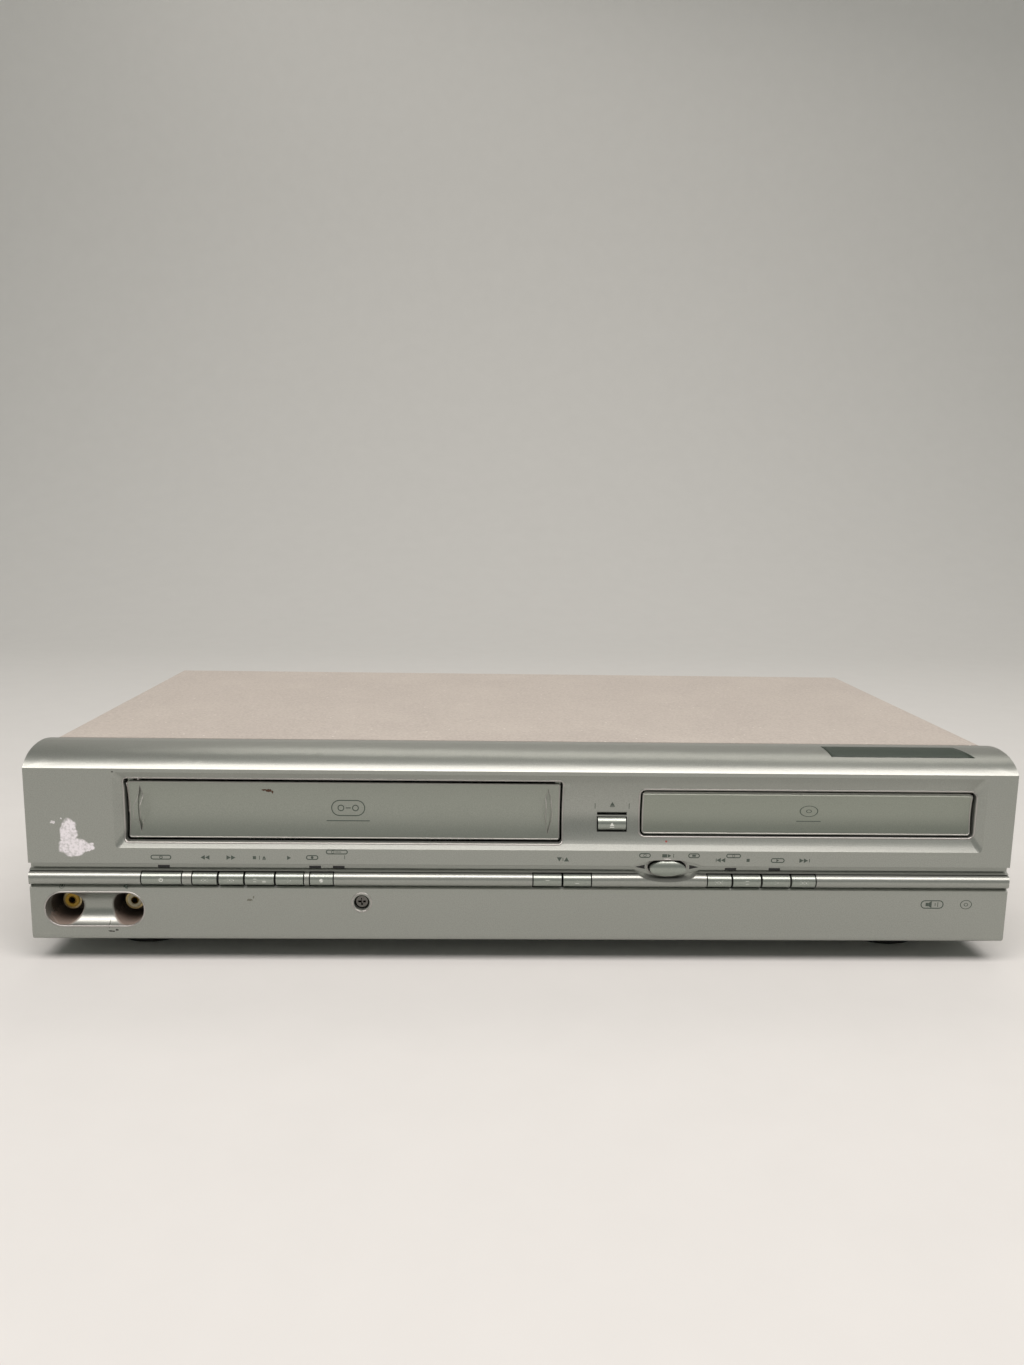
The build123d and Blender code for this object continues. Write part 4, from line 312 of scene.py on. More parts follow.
def arrow(x, z, size, way=1):
    """A triangle that points right, or left."""
    base = x - way * size / 2
    return filled((base, z - size * 0.55), (x + way * size / 2, z), (base, z + size * 0.55))


def peak(x, z, size, way=1):
    """A triangle that points up, or down."""
    base = z - way * size / 2
    return filled((x - size * 0.6, base), (x + size * 0.6, base), (x, z + way * size / 2))


def dot(x, z, radius):
    """A disc."""
    turns = [math.tau * k / 16 for k in range(16)]
    return filled(*[(x + radius * math.cos(t), z + radius * math.sin(t)) for t in turns])


def power_sign(x, z, radius):
    """A ring open at the top, with a bar through the gap."""
    turns = [math.radians(125 + 290 * k / 20) for k in range(21)]
    outer = [(x + radius * math.cos(t), z + radius * math.sin(t)) for t in turns]
    thin = radius - power_stroke
    inner = [(x + thin * math.cos(t), z + thin * math.sin(t)) for t in reversed(turns)]
    return [filled(*outer, *inner), bar(x, z + radius * 0.65, power_stroke, radius * 0.9)]


def piece(name, corners, faces, body, material, smooth=False):
    """A mesh piece in millimetres, in the player's own frame, that rides on a body."""
    mesh = bpy.data.meshes.new(name)
    mesh.from_pydata([[c / 1000 for c in corner] for corner in corners], [], faces)
    mesh.validate()
    work = bmesh.new()
    work.from_mesh(mesh)
    bmesh.ops.recalc_face_normals(work, faces=work.faces)
    work.to_mesh(mesh)
    work.free()
    for face in mesh.polygons:
        face.use_smooth = smooth
    made = bpy.data.objects.new(name, mesh)
    bpy.context.scene.collection.objects.link(made)
    mesh.materials.append(material)
    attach(made, body)
    return made


def printed(name, shapes, depth_at, body, material):
    """Shapes in (x, z) as one thin film of ink on a surface whose y is depth_at(x, z)."""
    corners, faces = [], []
    for outer, inner in shapes:
        loops = [outer] + ([inner] if inner else [])
        starts = []
        for loop in loops:
            for drop in (-ink_lift, ink_sink):
                starts.append(len(corners))
                corners.extend((x, depth_at(x, z) + drop, z) for x, z in loop)
        count = len(outer)
        for k in range(count):
            n = (k + 1) % count
            faces.append((starts[0] + k, starts[0] + n, starts[1] + n, starts[1] + k))
            if inner:
                faces.append((starts[2] + k, starts[2] + n, starts[3] + n, starts[3] + k))
                faces.append((starts[0] + k, starts[0] + n, starts[2] + n, starts[2] + k))
                faces.append((starts[1] + k, starts[1] + n, starts[3] + n, starts[3] + k))
        if not inner:
            faces.append(tuple(range(starts[0], starts[0] + count)))
            faces.append(tuple(range(starts[1], starts[1] + count)))
    return piece(name, corners, faces, body, material)


def front_of(node, reach=9.0):
    """The depth of a CAD node's front surface at (x, z), found by a ray from the front."""
    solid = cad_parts[node]

    def depth_at(x, z):
        for slip in (0.0, 0.3, -0.3, 0.7, -0.7, 1.2):
            start = Vector((x / 1000, -0.2, (z + slip) / 1000))
            hit, place, *_ = solid.ray_cast(solid.matrix_world.inverted() @ start, Vector((0, 1, 0)))
            if hit and place.y * 1000 < face_y + reach:
                return place.y * 1000
        return face_y

    return depth_at


on_panel = front_of("front_panel", 5.8)
legend_z, upper_legend_z = 48.9, 50.9
legends = [
    lozenge(-160.0, legend_z, 9.0, 2.2),
    *power_sign(-160.0, legend_z, 0.75),
    arrow(-141.9, legend_z, 1.9, -1),
    arrow(-139.9, legend_z, 1.9, -1),
    arrow(-130.6, legend_z, 1.9),
    arrow(-128.6, legend_z, 1.9),
    bar(-119.4, legend_z, 1.4, 1.4),
    bar(-117.2, legend_z, 0.25, 1.8),
    peak(-115.2, 49.1, 1.3),
    bar(-115.2, 48.1, 1.5, 0.3),
    arrow(-104.3, legend_z, 1.7),
    lozenge(-94.2, 49.1, 5.4, 2.2),
    dot(-94.2, 49.1, 0.6),
    lozenge(-83.4, 51.7, 9.6, 2.2),
    ring(-85.2, 51.7, 0.7, 0.22),
    bar(-82.8, 51.7, 2.6, 0.3),
    bar(-80.0, 49.3, 0.25, 1.8),
    peak(14.6, legend_z, 1.9, -1),
    bar(16.2, legend_z, 0.25, 1.6),
    peak(17.8, legend_z, 1.9),
    lozenge(52.6, upper_legend_z, 5.2, 2.2),
    ring(52.6, upper_legend_z, 0.7, 0.22),
    bar(61.4, 50.8, 2.2, 1.5),
    arrow(63.6, 50.8, 1.5),
    bar(65.4, 50.8, 0.3, 1.7),
    lozenge(74.5, upper_legend_z, 5.2, 2.2),
    bar(74.5, upper_legend_z, 1.6, 0.9),
    bar(84.5, legend_z, 0.3, 1.5),
    arrow(85.6, legend_z, 1.9, -1),
    arrow(87.6, legend_z, 1.9, -1),
    lozenge(92.2, upper_legend_z, 6.6, 2.0),
    ring(92.2, upper_legend_z, 0.65, 0.2),
    bar(98.8, legend_z, 1.4, 1.4),
    lozenge(112.1, legend_z, 6.2, 2.2),
    arrow(112.1, legend_z, 1.2),
    arrow(122.8, legend_z, 1.9),
    arrow(124.8, legend_z, 1.9),
    bar(126.4, legend_z, 0.3, 1.5),
    peak(38.1, 72.9, 1.8),
    bar(38.1, 71.6, 2.2, 0.35),
    bar(30.4, 71.9, 0.25, 2.6),
    bar(45.6, 71.9, 0.25, 2.6),
    # Beside the front sockets, and at the right end of the lower face
    ring(-203.7, 35.4, 1.1, 0.25),
    dot(-203.7, 35.4, 0.4),
    bar(-176.6, 35.4, 0.8, 1.0),
    filled((-176.2, 34.7), (-175.1, 34.2), (-175.1, 36.6), (-176.2, 36.1)),
    lozenge(183.5, 28.6, 10.5, 4.0),
    bar(181.2, 28.6, 1.3, 1.6),
    filled((181.9, 27.8), (183.3, 27.0), (183.3, 30.2), (181.9, 29.4)),
    bar(184.9, 28.6, 0.3, 1.4),
    bar(186.1, 28.6, 0.3, 2.2),
    ring(199.0, 28.6, 2.7, 0.35, 0.8),
    ring(199.0, 28.6, 1.0, 0.3, 0.8),
]
printed("panel_printing", legends, on_panel, "root", ink)

# ---- Lips of the openings
# The moulding's openings have rounded lips, and so have the free edges of the flap and the
# fascia and the grooves in the flap. Their lacquer is painted lighter than the panel's: a painted
# highlight along the edges.
flap_x, tray_x = -80.0, 125.6


def rounded(x, z, wide, tall, radius):
    """The outline of a rectangle with round corners."""
    outline = []
    for across, upward, first in ((1, 1, 0), (-1, 1, 90), (-1, -1, 180), (1, -1, 270)):
        centre_x, centre_z = x + across * (wide / 2 - radius), z + upward * (tall / 2 - radius)
        for step in range(9):
            turn = math.radians(first + step * 90 / 8)
            outline.append((centre_x + radius * math.cos(turn), centre_z + radius * math.sin(turn)))
    return outline


def refined(outline, step=3.0):
    """The same closed outline with points at most one step apart."""
    points = []
    for (x0, z0), (x1, z1) in zip(outline, outline[1:] + outline[:1]):
        count = max(1, round(math.hypot(x1 - x0, z1 - z0) / step))
        points.extend((x0 + (x1 - x0) * k / count, z0 + (z1 - z0) * k / count) for k in range(count))
    return points


def lip(name, outline, depth_at, radius, body, material):
    """The rounded lip of an opening or an edge: a slim bead that follows the surface."""
    points = refined(outline)
    count, sides = len(points), 8
    corners, faces = [], []
    for k, (x, z) in enumerate(points):
        (x0, z0), (x1, z1) = points[k - 1], points[(k + 1) % count]
        run = math.hypot(x1 - x0, z1 - z0) or 1.0
        out_x, out_z = (z1 - z0) / run, -(x1 - x0) / run
        depth = depth_at(x, z) + radius * 0.35
        for side in range(sides):
            turn = math.tau * side / sides
            sideways = radius * math.cos(turn)
            corners.append((x + out_x * sideways, depth - radius * math.sin(turn), z + out_z * sideways))
    for k in range(count):
        here, there = k * sides, (k + 1) % count * sides
        for side in range(sides):
            n = (side + 1) % sides
            faces.append((here + side, here + n, there + n, there + side))
    return piece(name, corners, faces, body, material, smooth=True)


# Lighter than the panel's lacquer: painted highlight on the lips
highlight_lip_lacquer, *_ = grained(
    "abs_silver_lacquer_lips_painted_highlight", "#a3a19d", "#b3b1ad", 0.45, Metallic=0.8, Roughness=0.3, IOR=1.5
)
oval_turns = [math.tau * k / 48 for k in range(48)]
for name, outline in (
    ("flap_opening_lip", rounded(flap_x, 69.6, 192.1, 29.1, 2.1)),
    ("tray_opening_lip", rounded(tray_x, 69.3, 151.1, 21.7, 2.6)),
    ("socket_recess_lip", rounded(-189.8, well_z, 43.6, 15.8, 7.88)),
    ("screw_seat_lip", rounded(-72.7, 28.4, 8.6, 8.6, 4.28)),
    ("oval_key_lip", [(oval_x + 8.95 * math.cos(t), oval_z + 4.35 * math.sin(t)) for t in oval_turns]),
):
    lip(name, outline, on_panel, 0.42, "root", highlight_lip_lacquer)
flap_edge = rounded(flap_x, 69.2, 188.7, 24.9, 0.6)
lip("flap_edge_lip", flap_edge, front_of("vhs_door"), 0.26, "vhs_door", highlight_lip_lacquer)
on_groove = front_of("vhs_door", 6.4)
for groove_x in (-169.5, 9.5):
    lens = [(groove_x - x, z) for x, z in ((0, 58.6), (1.05, 63.5), (1.45, 69.2), (1.05, 75.0), (0, 80.0))]
    lens += [(2 * groove_x - x, z) for x, z in lens[-2:0:-1]]
    name = f"groove_lip_{groove_x:.0f}"
    lip(name, lens, on_groove, 0.14, "vhs_door", highlight_lip_lacquer)
fascia_edge = rounded(tray_x, 69.3, 147.8, 18.4, 1.2)
lip("fascia_edge_lip", fascia_edge, front_of("tray_front"), 0.3, "tray", highlight_lip_lacquer)

# ---- Strip on the nose of the panel
# A self-adhesive strip of dark vinyl laid over the rounded top edge. It is matt, and its corners
# are cut square; its print is left plain.
nose = [(0.0, 88.6), (5.0, 94.8), (13.5, 96.2), (21.0, 96.2)]
strip_lift = 0.12


def on_nose(t):
    """Depth and height on the panel's rounded top edge, with the outward direction."""
    weights = ((1 - t) ** 3, 3 * t * (1 - t) ** 2, 3 * t * t * (1 - t), t**3)
    at = [sum(w * p[i] for w, p in zip(weights, nose)) for i in (0, 1)]
    slopes = (3 * (1 - t) ** 2, 6 * t * (1 - t), 3 * t * t)
    run = [sum(s * (nose[k + 1][i] - nose[k][i]) for k, s in enumerate(slopes)) for i in (0, 1)]
    size = math.hypot(*run)
    return at, (-run[1] / size, run[0] / size)


strip_corners, strip_faces = [], []
columns, rows = 24, 14
for row in range(rows + 1):
    t = 0.46 + 0.54 * row / rows
    (depth, height), (out_y, out_z) = on_nose(t)
    left, right = 136.2 - 1.0 * row / rows, 201.2 - 4.8 * row / rows
    for column in range(columns + 1):
        x = left + (right - left) * column / columns
        for lift in (strip_lift, -0.05):
            strip_corners.append((x, face_y + depth + out_y * lift, height + out_z * lift))
for row in range(rows):
    for column in range(columns):
        for side in (0, 1):
            a = 2 * (row * (columns + 1) + column) + side
            strip_faces.append((a, a + 2, a + 2 * (columns + 1) + 2, a + 2 * (columns + 1)))
rim = [(0, c) for c in range(columns + 1)]
rim += [(r, columns) for r in range(1, rows + 1)]
rim += [(rows, c) for c in reversed(range(columns))]
rim += [(r, 0) for r in reversed(range(1, rows))]
for (r0, c0), (r1, c1) in zip(rim, rim[1:] + rim[:1]):
    a, b = 2 * (r0 * (columns + 1) + c0), 2 * (r1 * (columns + 1) + c1)
    strip_faces.append((a, b, b + 1, a + 1))
# Soft film: a dull, greenish black beside the lacquer
vinyl, *_ = grained(
    "vinyl_film_dark_matt", "#1d2a20", "#26342a", 1.2, bump_mm=0.01, Roughness=0.42, IOR=1.52
)
piece("nose_strip", strip_corners, strip_faces, "root", vinyl, smooth=True)

# ---- Top cover
# A folded sheet of steel with a baked, finely textured paint in warm light grey. A film of dust
# and some grit have settled on it.
# The paint's texture is finer than half a millimetre and is drawn at 1.1 mm, so that it still
# shows from the front: a matt, pebbled skin
cover_paint, cover_tree, cover_shader, cover_place = grained(
    "baked_textured_paint_warm_grey",
    "#a79f97",
    "#cbc3ba",
    1.1,
    bump_mm=0.08,
    Metallic=0.25,
    Roughness=0.5,
    IOR=1.5,
)
# Clouds of dust in pale, soft-edged drifts, and single grains far apart
dust_mm, grit_mm = 45, 9
dust = add(
    cover_tree,
    "TexNoise",
    {"Vector": cover_place, "Scale": 1000 / dust_mm, "Detail": 6.0, "Roughness": 0.7},
)
film = add(
    cover_tree,
    "MapRange",
    {"Value": dust.outputs["Fac"], "From Min": 0.42, "From Max": 0.72, "To Max": 0.2},
)
stain(cover_tree, cover_shader, film.outputs["Result"], "#cdc7bb", 0.75)
specks = add(
    cover_tree, "TexVoronoi", {"Vector": cover_place, "Scale": 1000 / grit_mm, "Randomness": 1.0}
)
grit = add(
    cover_tree,
    "MapRange",
    {"Value": specks.outputs["Distance"], "From Min": 0.07, "From Max": 0.04},
)
stain(cover_tree, cover_shader, grit.outputs["Result"], "#ded9d0", 0.8)
clad(cover_paint, "top_cover")

# ---- Cassette flap
# A thin ABS moulding in the same lacquer, a touch smoother than the panel. A plain sign of a
# cassette is printed in the middle, and a brown spot has dried near its top edge.
flap_lacquer, flap_tree, flap_shader, flap_place = grained(
    "abs_silver_lacquer_flap",
    "#8a8f87",
    "#9ea29a",
    0.4,
    bump_mm=0.008,
    Metallic=0.8,
    Roughness=0.32,
    IOR=1.5,
)
# Bare black moulding behind the flap's front, which also serves as painted shade in its gaps
stain(flap_tree, flap_shader, behind_depth(flap_tree, flap_place, face_y + 7.4), bare_abs_and_gap_shade, 0.5)
for spot_x, spot_z, wide, tall in (
    (-113.6, 77.9, 2.6, 1.6),
    (-115.6, 78.1, 2.4, 0.9),
    (-112.0, 77.2, 1.0, 1.2),
):
    dried = blot(flap_tree, flap_place, spot_x, spot_z, wide, tall, 0.8, 1.4)
    stain(flap_tree, flap_shader, dried, "#4c2c18", 0.6)
clad(flap_lacquer, "vhs_door")
flap_mid_z, flap_half_height, flap_bow, flap_depth = 69.2, 12.8, 1.6, 4.4
flap_radius = (flap_half_height**2 + flap_bow**2) / (2 * flap_bow)


def on_flap(x, z):
    """The depth of the flap's shallow curve."""
    reach = math.sqrt(flap_radius**2 - (z - flap_mid_z) ** 2)
    return face_y + flap_depth + flap_bow - flap_radius + reach


cassette_sign = [
    lozenge(-79.0, 70.0, 15.0, 7.4, 0.45),
    ring(-82.2, 70.0, 1.5, 0.45),
    ring(-75.8, 70.0, 1.5, 0.45),
    bar(-79.0, 70.0, 2.2, 0.45),
    bar(-79.0, 64.2, 19.0, 0.4),
]
printed("flap_printing", cassette_sign, on_flap, "vhs_door", ink)

# ---- Disc tray and its fascia
# The tray is moulded in black ABS with a fine spark-eroded texture; the lacquered fascia clips on
# its front end. A plain sign of a disc is printed in the middle of the fascia.
tray_lacquer, tray_tree, tray_shader, tray_place = grained(
    "abs_silver_lacquer_tray_fascia",
    "#878c83",
    "#9a9f95",
    0.4,
    bump_mm=0.008,
    Metallic=0.8,
    Roughness=0.32,
    IOR=1.5,
)
# Bare black moulding behind the fascia's front, which also serves as painted shade in its gaps
stain(tray_tree, tray_shader, behind_depth(tray_tree, tray_place, face_y + 5.7), bare_abs_and_gap_shade, 0.5)
clad(tray_lacquer, "tray_front")


def on_fascia(x, z):
    """The depth of the fascia's shallow curve."""
    low, mid, high = (face_y + 3.8, 59.7), (face_y + 5.1, 69.3), (face_y + 4.2, 77.6)
    share = (z - low[1]) / (high[1] - low[1])
    bulge = mid[0] - (low[0] + high[0]) / 2
    return low[0] + (high[0] - low[0]) * share + 4 * bulge * share * (1 - share)


disc_sign = [
    ring(126.4, 70.2, 4.2, 0.45, 0.62),
    ring(126.4, 70.2, 1.3, 0.4, 0.62),
    bar(126.4, 65.6, 11.0, 0.35),
]
printed("fascia_printing", disc_sign, on_fascia, "tray", ink)
# The eroded mould leaves a dull, even black
tray_black, *_ = grained(
    "abs_black_spark_texture", "#141414", "#1f1f1f", 0.5, bump_mm=0.03, Roughness=0.55, IOR=1.53
)
clad(tray_black, "disc_tray", "loader_frame", "traverse_chassis", "supply_reel", "takeup_reel")

# ---- Keys
# Each keycap is a small ABS moulding in the lacquer of the panel, with its sign printed in pale
# ink on the rounded front. Behind the front the moulding is bare and black, which also stands for
# the shade in the gaps round the keys.
band_z, band_radius, band_depth = 39.0, 3.1, 1.5
key_finishes = []
for label, bare_and_shade_from in (("band", 1.55), ("recessed", 5.8)):
    made, key_tree, key_shader, key_place = grained(
        f"abs_silver_lacquer_keys_{label}",
        "#8b918a",
        "#a2a8a0",
        0.4,
        bump_mm=0.006,
        Metallic=0.78,
        Roughness=0.3,
        IOR=1.5,
    )
    stain(key_tree, key_shader, behind_depth(key_tree, key_place, face_y + bare_and_shade_from), bare_abs_and_gap_shade, 0.5)
    key_finishes.append(made)
key_lacquer, recessed_key_lacquer = key_finishes


def on_band(x, z):
    """The depth of the half-round band."""
    return face_y + band_depth - math.sqrt(max(band_radius**2 - (z - band_z) ** 2, 0.0))


key_signs = {
    "key_power": (-160.0, lambda x, z: power_sign(x, z, 0.9)),
    "key_rewind": (-141.2, lambda x, z: [arrow(x - 0.8, z, 1.5, -1), arrow(x + 0.8, z, 1.5, -1)]),
    "key_forward": (-129.7, lambda x, z: [arrow(x - 0.8, z, 1.5), arrow(x + 0.8, z, 1.5)]),
    "key_stop_eject": (
        -117.2,
        lambda x, z: [
            bar(x - 2.0, z, 1.4, 1.4),
            peak(x + 2.0, z + 0.25, 1.3),
            bar(x + 2.0, z - 0.75, 1.6, 0.3),
        ],
    ),
    "key_vcr_play": (-104.2, lambda x, z: [arrow(x, z, 1.7)]),
    "key_record": (-90.2, lambda x, z: [dot(x, z, 0.8)]),
    "key_channel_down": (9.5, lambda x, z: [peak(x, z, 1.5, -1)]),
    "key_channel_up": (22.7, lambda x, z: [peak(x, z, 1.5)]),
    "key_disc_skip_back": (
        86.2,
        lambda x, z: [bar(x - 1.9, z, 0.3, 1.6), arrow(x - 0.8, z, 1.5, -1), arrow(x + 0.8, z, 1.5, -1)],
    ),
    "key_disc_stop": (98.6, lambda x, z: [bar(x, z, 1.5, 1.5)]),
    "key_disc_play": (111.8, lambda x, z: [arrow(x, z, 1.7)]),
    "key_disc_skip_on": (
        124.0,
        lambda x, z: [arrow(x - 0.8, z, 1.5), arrow(x + 0.8, z, 1.5), bar(x + 1.9, z, 0.3, 1.6)],
    ),
}
for key, (key_x, sign) in key_signs.items():
    clad(key_lacquer, key)
    printed(key + "_sign", sign(key_x, band_z), on_band, key, pale_ink)
clad(key_lacquer, "key_output")
clad(recessed_key_lacquer, "key_open_close")
printed(
    "key_open_close_sign",
    [peak(38.0, 64.1, 1.6), bar(38.0, 62.7, 2.0, 0.35)],
    lambda x, z: face_y + 3.42 + 0.02 * abs(z - 63.8),
    "key_open_close",
    pale_ink,
)

# ---- Indicator windows
# Clear acrylic light guides, smoked so that they look black while the lamps behind are off. They
# are polished, so their edges catch the light.
smoked, *_ = grained("acrylic_smoked_moulded", "#0b0b0d", "#121014", 2.0, Roughness=0.12, IOR=1.49)
clad(smoked, "indicator_lenses")

# ---- Front sockets
# Two phono sockets: a nickel shell round a coloured insulator, with a sprung brass contact in the
# middle. Yellow carries the picture; white, yellowed with age, the sound.
# Aged nickel shines warm and brownish, the tarnished contact is duller, and the moulded plastic
# has a soft gloss
nickel, *_ = grained("nickel_plate_aged", "#8d7f5c", "#b5a57c", 1.1, Metallic=1.0, Roughness=0.3)
brass, *_ = grained("brass_contact_tarnished", "#6e5528", "#8f7336", 0.8, Metallic=1.0, Roughness=0.38)
yellow_plastic, *_ = grained("polyamide_yellow", "#c69a1c", "#d2a828", 1.5, Roughness=0.4, IOR=1.53)
white_plastic, *_ = grained("polyamide_white_aged", "#cfc4a0", "#d9d0b2", 1.5, Roughness=0.4, IOR=1.53)
red_plastic, *_ = grained("polyamide_red", "#9c1f1a", "#ab2a22", 1.5, Roughness=0.4, IOR=1.53)
green_plastic, *_ = grained("polyamide_green", "#1f7a3a", "#298747", 1.5, Roughness=0.4, IOR=1.53)
blue_plastic, *_ = grained("polyamide_blue", "#1d4f9c", "#265bab", 1.5, Roughness=0.4, IOR=1.53)
black_plastic, *_ = grained(
    "polyamide_black", "#131313", "#1b1b1b", 1.2, bump_mm=0.01, Roughness=0.45, IOR=1.53
)
clad(nickel, "front_sockets")


def turned(name, profile, centre, axis, body, material, turns=40):
    """A turned piece: (radius, distance along the axis) pairs swept round an axis through a centre."""
    axis = Vector(axis).normalized()
    across = axis.orthogonal().normalized()
    other = axis.cross(across)
    corners, faces = [], []
    for step in range(turns):
        turn = math.tau * step / turns
        out = across * math.cos(turn) + other * math.sin(turn)
        corners.extend(tuple(Vector(centre) + out * r + axis * h) for r, h in profile)
    count = len(profile)
    for step in range(turns):
        here, there = step * count, (step + 1) % turns * count
        for k in range(count):
            n = (k + 1) % count
            faces.append((here + k, here + n, there + n, there + k))
    made = piece(name, corners, faces, body, material, smooth=True)
    work = bmesh.new()
    work.from_mesh(made.data)
    bmesh.ops.remove_doubles(work, verts=work.verts, dist=1e-7)
    bmesh.ops.recalc_face_normals(work, faces=work.faces)
    for edge in work.edges:
        if len(edge.link_faces) == 2 and edge.calc_face_angle(0.0) > math.radians(32):
            edge.smooth = False
    work.to_mesh(made.data)
    work.free()
    return made


insulator = [(1.78, 0.0), (3.2, 0.0), (3.2, 0.25), (2.9, 0.45), (2.0, 0.45), (1.78, 0.3)]
contact = [(1.2, -6.0), (1.66, -6.0), (1.66, 0.2), (1.3, 0.35), (1.2, 0.2)]
for label, x, colour in zip(("video", "audio"), well_xs, (yellow_plastic, white_plastic)):
    tip = (x, face_y + 11.0, well_z)
    turned(f"front_{label}_insulator", insulator, tip, (0, -1, 0), "root", colour)
    turned(f"front_{label}_contact", contact, tip, (0, -1, 0), "root", brass)

# ---- Screws
# Cross-head screws of steel with dark nickel plating, one in the lower face and the others in the
# cover's sides and back.
# The plating shines dark, in sharp small lights
screw_steel, *_ = grained(
    "steel_dark_nickel_plated", "#5a5956", "#74726e", 0.9, Metallic=1.0, Roughness=0.24
)
clad(screw_steel, "screws")

# ---- Chassis, feet and rear panel
# The chassis is folded from zinc-plated steel. The rear panel is painted black, and the feet are
# moulded in a dark rubber.
# Zinc is a pale grey with a faint spangle of 7 mm; the textured paint is dull, and the rubber
# duller still
zinc, *_ = grained("steel_zinc_plated", "#8d8f8c", "#a5a7a3", 7.0, Metallic=1.0, Roughness=0.38)
rear_paint, *_ = grained(
    "steel_black_textured_paint", "#161616", "#212121", 0.8, bump_mm=0.03, Roughness=0.55, IOR=1.5
)
foot_rubber, *_ = grained(
    "rubber_moulded_dark", "#1a1a1a", "#242422", 1.4, bump_mm=0.02, Roughness=0.75, IOR=1.52
)
clad(zinc, "bottom_chassis", "clamp_bridge", "deck_plate", "carriage_frame", "cassette_holder", "pinch_arm")
clad(rear_paint, "rear_panel")
clad(foot_rubber, "feet", "cord_bush", "loading_belt", "pinch_roller")

# ---- Sockets of the back
# Black housings, each barrel with a nickel shell, a coloured insulator and a brass contact. The
# aerial sockets and their can are plated with bright nickel.
rear_y = 111.6
clad(black_plastic, "rear_sockets")
shell = [(3.3, -1.0), (4.18, -1.0), (4.18, 7.42), (3.9, 7.55), (3.3, 7.45)]
low_z, high_z, socket_pitch = 36.0, 56.0, 16.0
left_row = (yellow_plastic, white_plastic, red_plastic)
socket_rows = (
    (-150.0, low_z, left_row),
    (-150.0, high_z, left_row),
    (-60.0, low_z, left_row + (black_plastic, black_plastic)),
    (-60.0, high_z, (green_plastic, blue_plastic, red_plastic, white_plastic, red_plastic)),
)
colours = []
for first_x, z, row in socket_rows:
    colours += [(first_x + socket_pitch * k, z, colour) for k, colour in enumerate(row)]
for number, (x, z, colour) in enumerate(colours):
    base = (x, rear_y, z)
    tip = (x, rear_y + 7.2, z)
    turned(f"rear_shell_{number}", shell, base, (0, 1, 0), "root", nickel, turns=28)
    turned(f"rear_insulator_{number}", insulator, tip, (0, 1, 0), "root", colour, turns=28)
    turned(f"rear_contact_{number}", contact, tip, (0, 1, 0), "root", brass, turns=20)
bright_nickel, *_ = grained("nickel_plate_bright", "#a9a69b", "#bcb9ae", 2.0, Metallic=1.0, Roughness=0.25)
clad(bright_nickel, "antenna_unit", "tape_heads")

# ---- Rating plate
# A blank plate of aluminium foil, stuck on the back below the vents, where makers state the
# supply.
# Rolled foil has an even, silky shine
foil, *_ = grained("aluminium_foil_label", "#9ea0a2", "#abadaf", 3.0, Metallic=0.9, Roughness=0.42)
plate = [(110.0, 24.0), (170.0, 24.0), (170.0, 44.0), (110.0, 44.0)]
plate_corners = [(x, rear_y + lift, z) for lift in (-0.05, 0.15) for x, z in plate]
plate_faces = [(0, 1, 2, 3), (4, 5, 6, 7)]
plate_faces += [(k, (k + 1) % 4, (k + 1) % 4 + 4, k + 4) for k in range(4)]
piece("rating_plate", plate_corners, plate_faces, "root", foil)

# ---- Works inside
# Acetal gears, ground steel rods and shafts, die-cast pickup and drum base, a turned drum, and
# green glass-epoxy boards. They show when the flap or the tray is open.
# Acetal looks milky and smooth, ground and turned metal shines, die castings are grey and
# grainy, and the boards have a green, half-glossy mask
acetal, *_ = grained("acetal_white_moulded", "#cfcdc2", "#dad8cd", 2.5, Roughness=0.4, IOR=1.48)
ground_steel, *_ = grained("steel_ground_shaft", "#a8a8a8", "#bcbcbc", 0.6, Metallic=1.0, Roughness=0.18)
die_cast, *_ = grained(
    "zinc_alloy_die_cast", "#7c7e80", "#919395", 1.5, bump_mm=0.02, Metallic=1.0, Roughness=0.45
)
turned_drum, *_ = grained("aluminium_fine_turned", "#b2b3b5", "#c6c7c9", 0.5, Metallic=1.0, Roughness=0.22)
spring_steel, *_ = grained("steel_spring_wire", "#86868a", "#9c9ca0", 0.5, Metallic=1.0, Roughness=0.3)
board_epoxy, *_ = grained("glass_epoxy_board_green", "#274a1e", "#335a27", 3.0, Roughness=0.4, IOR=1.55)
clad(acetal, "tray_gear", "pulley_gear", "motor_pulley", "supply_guide", "takeup_guide")
clad(ground_steel, "guide_rods", "capstan")
clad(die_cast, "laser_pickup", "drum_base", "spindle_motor", "loading_motor")
clad(turned_drum, "head_drum")
clad(spring_steel, "door_spring")
clad(board_epoxy, "front_board", "main_board", "disc_board", "power_board")
clad(black_plastic, "turntable", "clamp_disc")

# The pickup's lens: a small glass dome in its ring, coated, so that it looks a glossy dark blue
glass, *_ = grained(
    "objective_lens_glass", "#20263a", "#2a3350", 1.0, Roughness=0.05, IOR=1.52, Coat_Weight=0.6
)
disc_y = face_y + 74.0
lens_place = (tray_x, disc_y + 24.1, 62.6)
dome = [(0.0, 0.9), (0.8, 0.82), (1.5, 0.55), (2.0, 0.1), (2.0, -0.1), (0.0, -0.1)]
turned("pickup_lens", dome, lens_place, (0, 0, 1), "laser_pickup", glass)

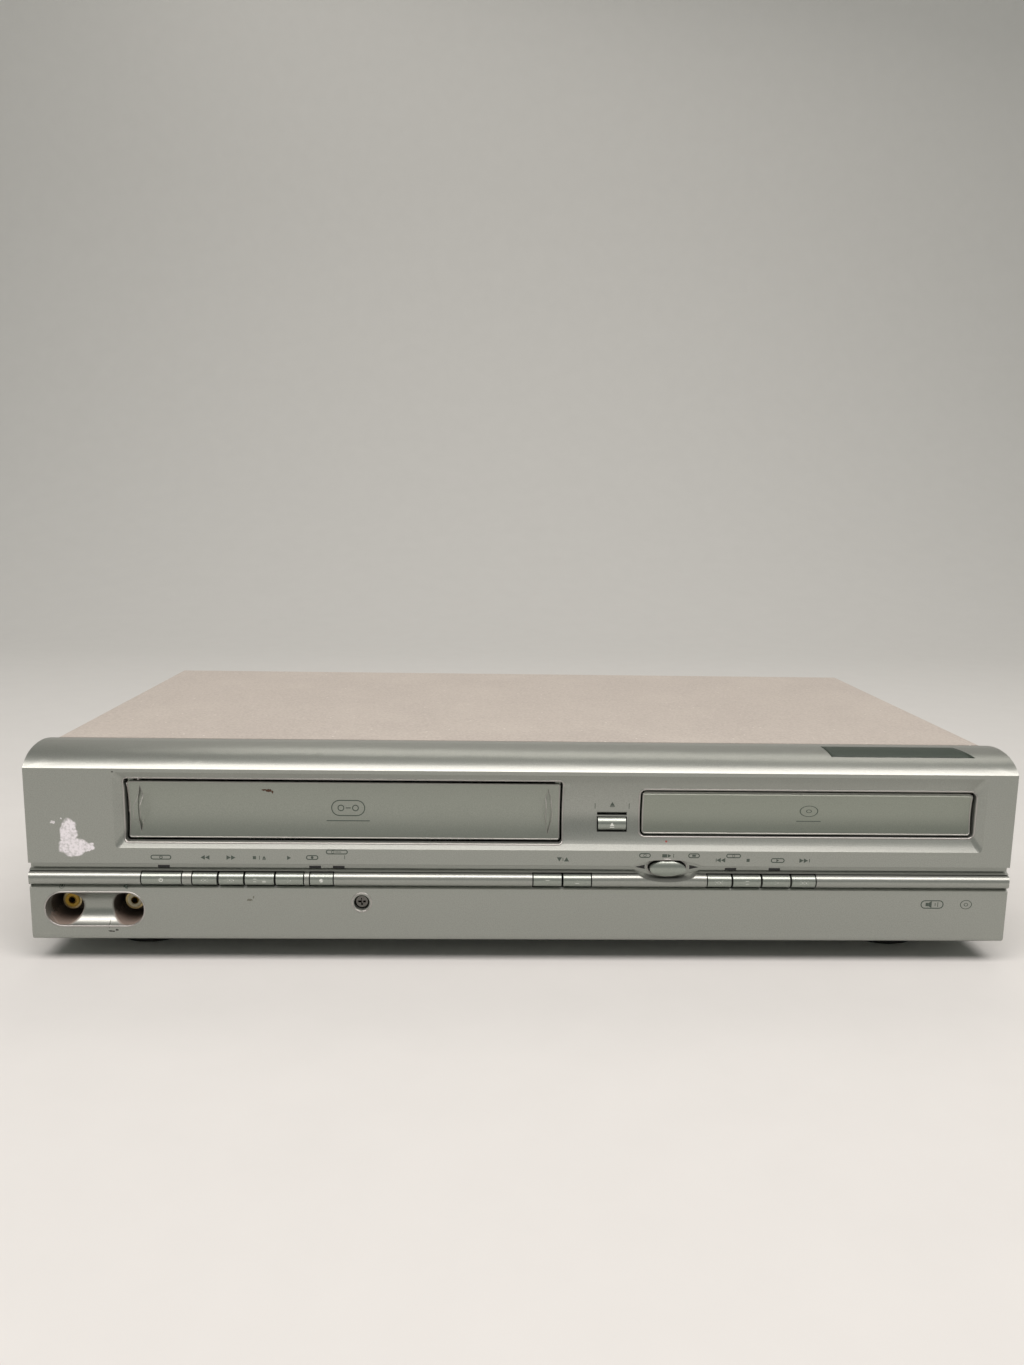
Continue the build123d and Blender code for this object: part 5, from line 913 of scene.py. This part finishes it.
# ---- Stage, light and camera
# A plain sweep of pale matt paper that rises behind the player, one broad soft light over its
# front and a weak one over its back.
sweep_bend = 900.0
sweep_profile = [(-4000.0, 0.0), (sweep_bend, 0.0)]
for step in range(1, 13):
    turn = math.radians(-90 + 7.5 * step)
    across, up = sweep_bend * math.cos(turn), sweep_bend * math.sin(turn)
    sweep_profile.append((sweep_bend + across, sweep_bend + up))
sweep_profile.append((2 * sweep_bend, 6000.0))
count = len(sweep_profile)
sweep_mesh = bpy.data.meshes.new("sweep")
sweep_mesh.from_pydata(
    [(x / 1000, y / 1000, z / 1000) for x in (-6000.0, 6000.0) for y, z in sweep_profile],
    [],
    [(k, k + 1, k + 1 + count, k + count) for k in range(count - 1)],
)
for face in sweep_mesh.polygons:
    face.use_smooth = True
sweep = bpy.data.objects.new("sweep", sweep_mesh)
bpy.context.scene.collection.objects.link(sweep)
sweep_paper, *_ = grained("backdrop_paper_pale", "#cfcfcc", "#d2d2cf", 30.0, Roughness=0.9)
sweep_mesh.materials.append(sweep_paper)


def softbox(name, place, target, wide, tall, watts, tint):
    """A broad soft light that faces a point."""
    lamp = bpy.data.lights.new(name, "AREA")
    lamp.shape = "RECTANGLE"
    lamp.color = linear(tint)[:3]
    lamp.size, lamp.size_y, lamp.energy = wide, tall, watts
    made = bpy.data.objects.new(name, lamp)
    made.location = place
    made.rotation_euler = (Vector(target) - Vector(place)).to_track_quat("-Z", "Y").to_euler()
    bpy.context.scene.collection.objects.link(made)


softbox("overhead_light", (0.0, -0.76, 1.45), (0, -0.1, 0), 2.6, 0.74, 35, "#fff6f4")
softbox("rear_light", (0.3, 1.1, 1.75), (0, 0.1, 0), 2.2, 0.8, 8, "#fff8f2")

world = bpy.data.worlds.new("studio")
world.use_nodes = True
world.node_tree.nodes["Background"].inputs["Color"].default_value = linear("#dfe4dc")
world.node_tree.nodes["Background"].inputs["Strength"].default_value = 0.34
bpy.context.scene.world = world
bpy.context.scene.view_settings.view_transform = "Standard"

camera_data = bpy.data.cameras.new("camera")
camera_data.lens = 26.90
camera = bpy.data.objects.new("camera", camera_data)
camera_place = Vector((-0.02107, -0.54895, 0.20018))
pitch, yaw, roll = 0.16558, 0.03118, 0.01597
ahead = Vector((math.sin(yaw) * math.cos(pitch), math.cos(yaw) * math.cos(pitch), -math.sin(pitch)))
level_right = Vector((math.cos(yaw), -math.sin(yaw), 0))
level_up = level_right.cross(ahead)
right = level_right * math.cos(roll) + level_up * math.sin(roll)
up = level_up * math.cos(roll) - level_right * math.sin(roll)
camera.matrix_world = Matrix(
    (
        (right.x, up.x, -ahead.x, camera_place.x),
        (right.y, up.y, -ahead.y, camera_place.y),
        (right.z, up.z, -ahead.z, camera_place.z),
        (0, 0, 0, 1),
    )
)
camera_data.clip_start, camera_data.clip_end = 0.01, 50
bpy.context.scene.collection.objects.link(camera)
bpy.context.scene.camera = camera
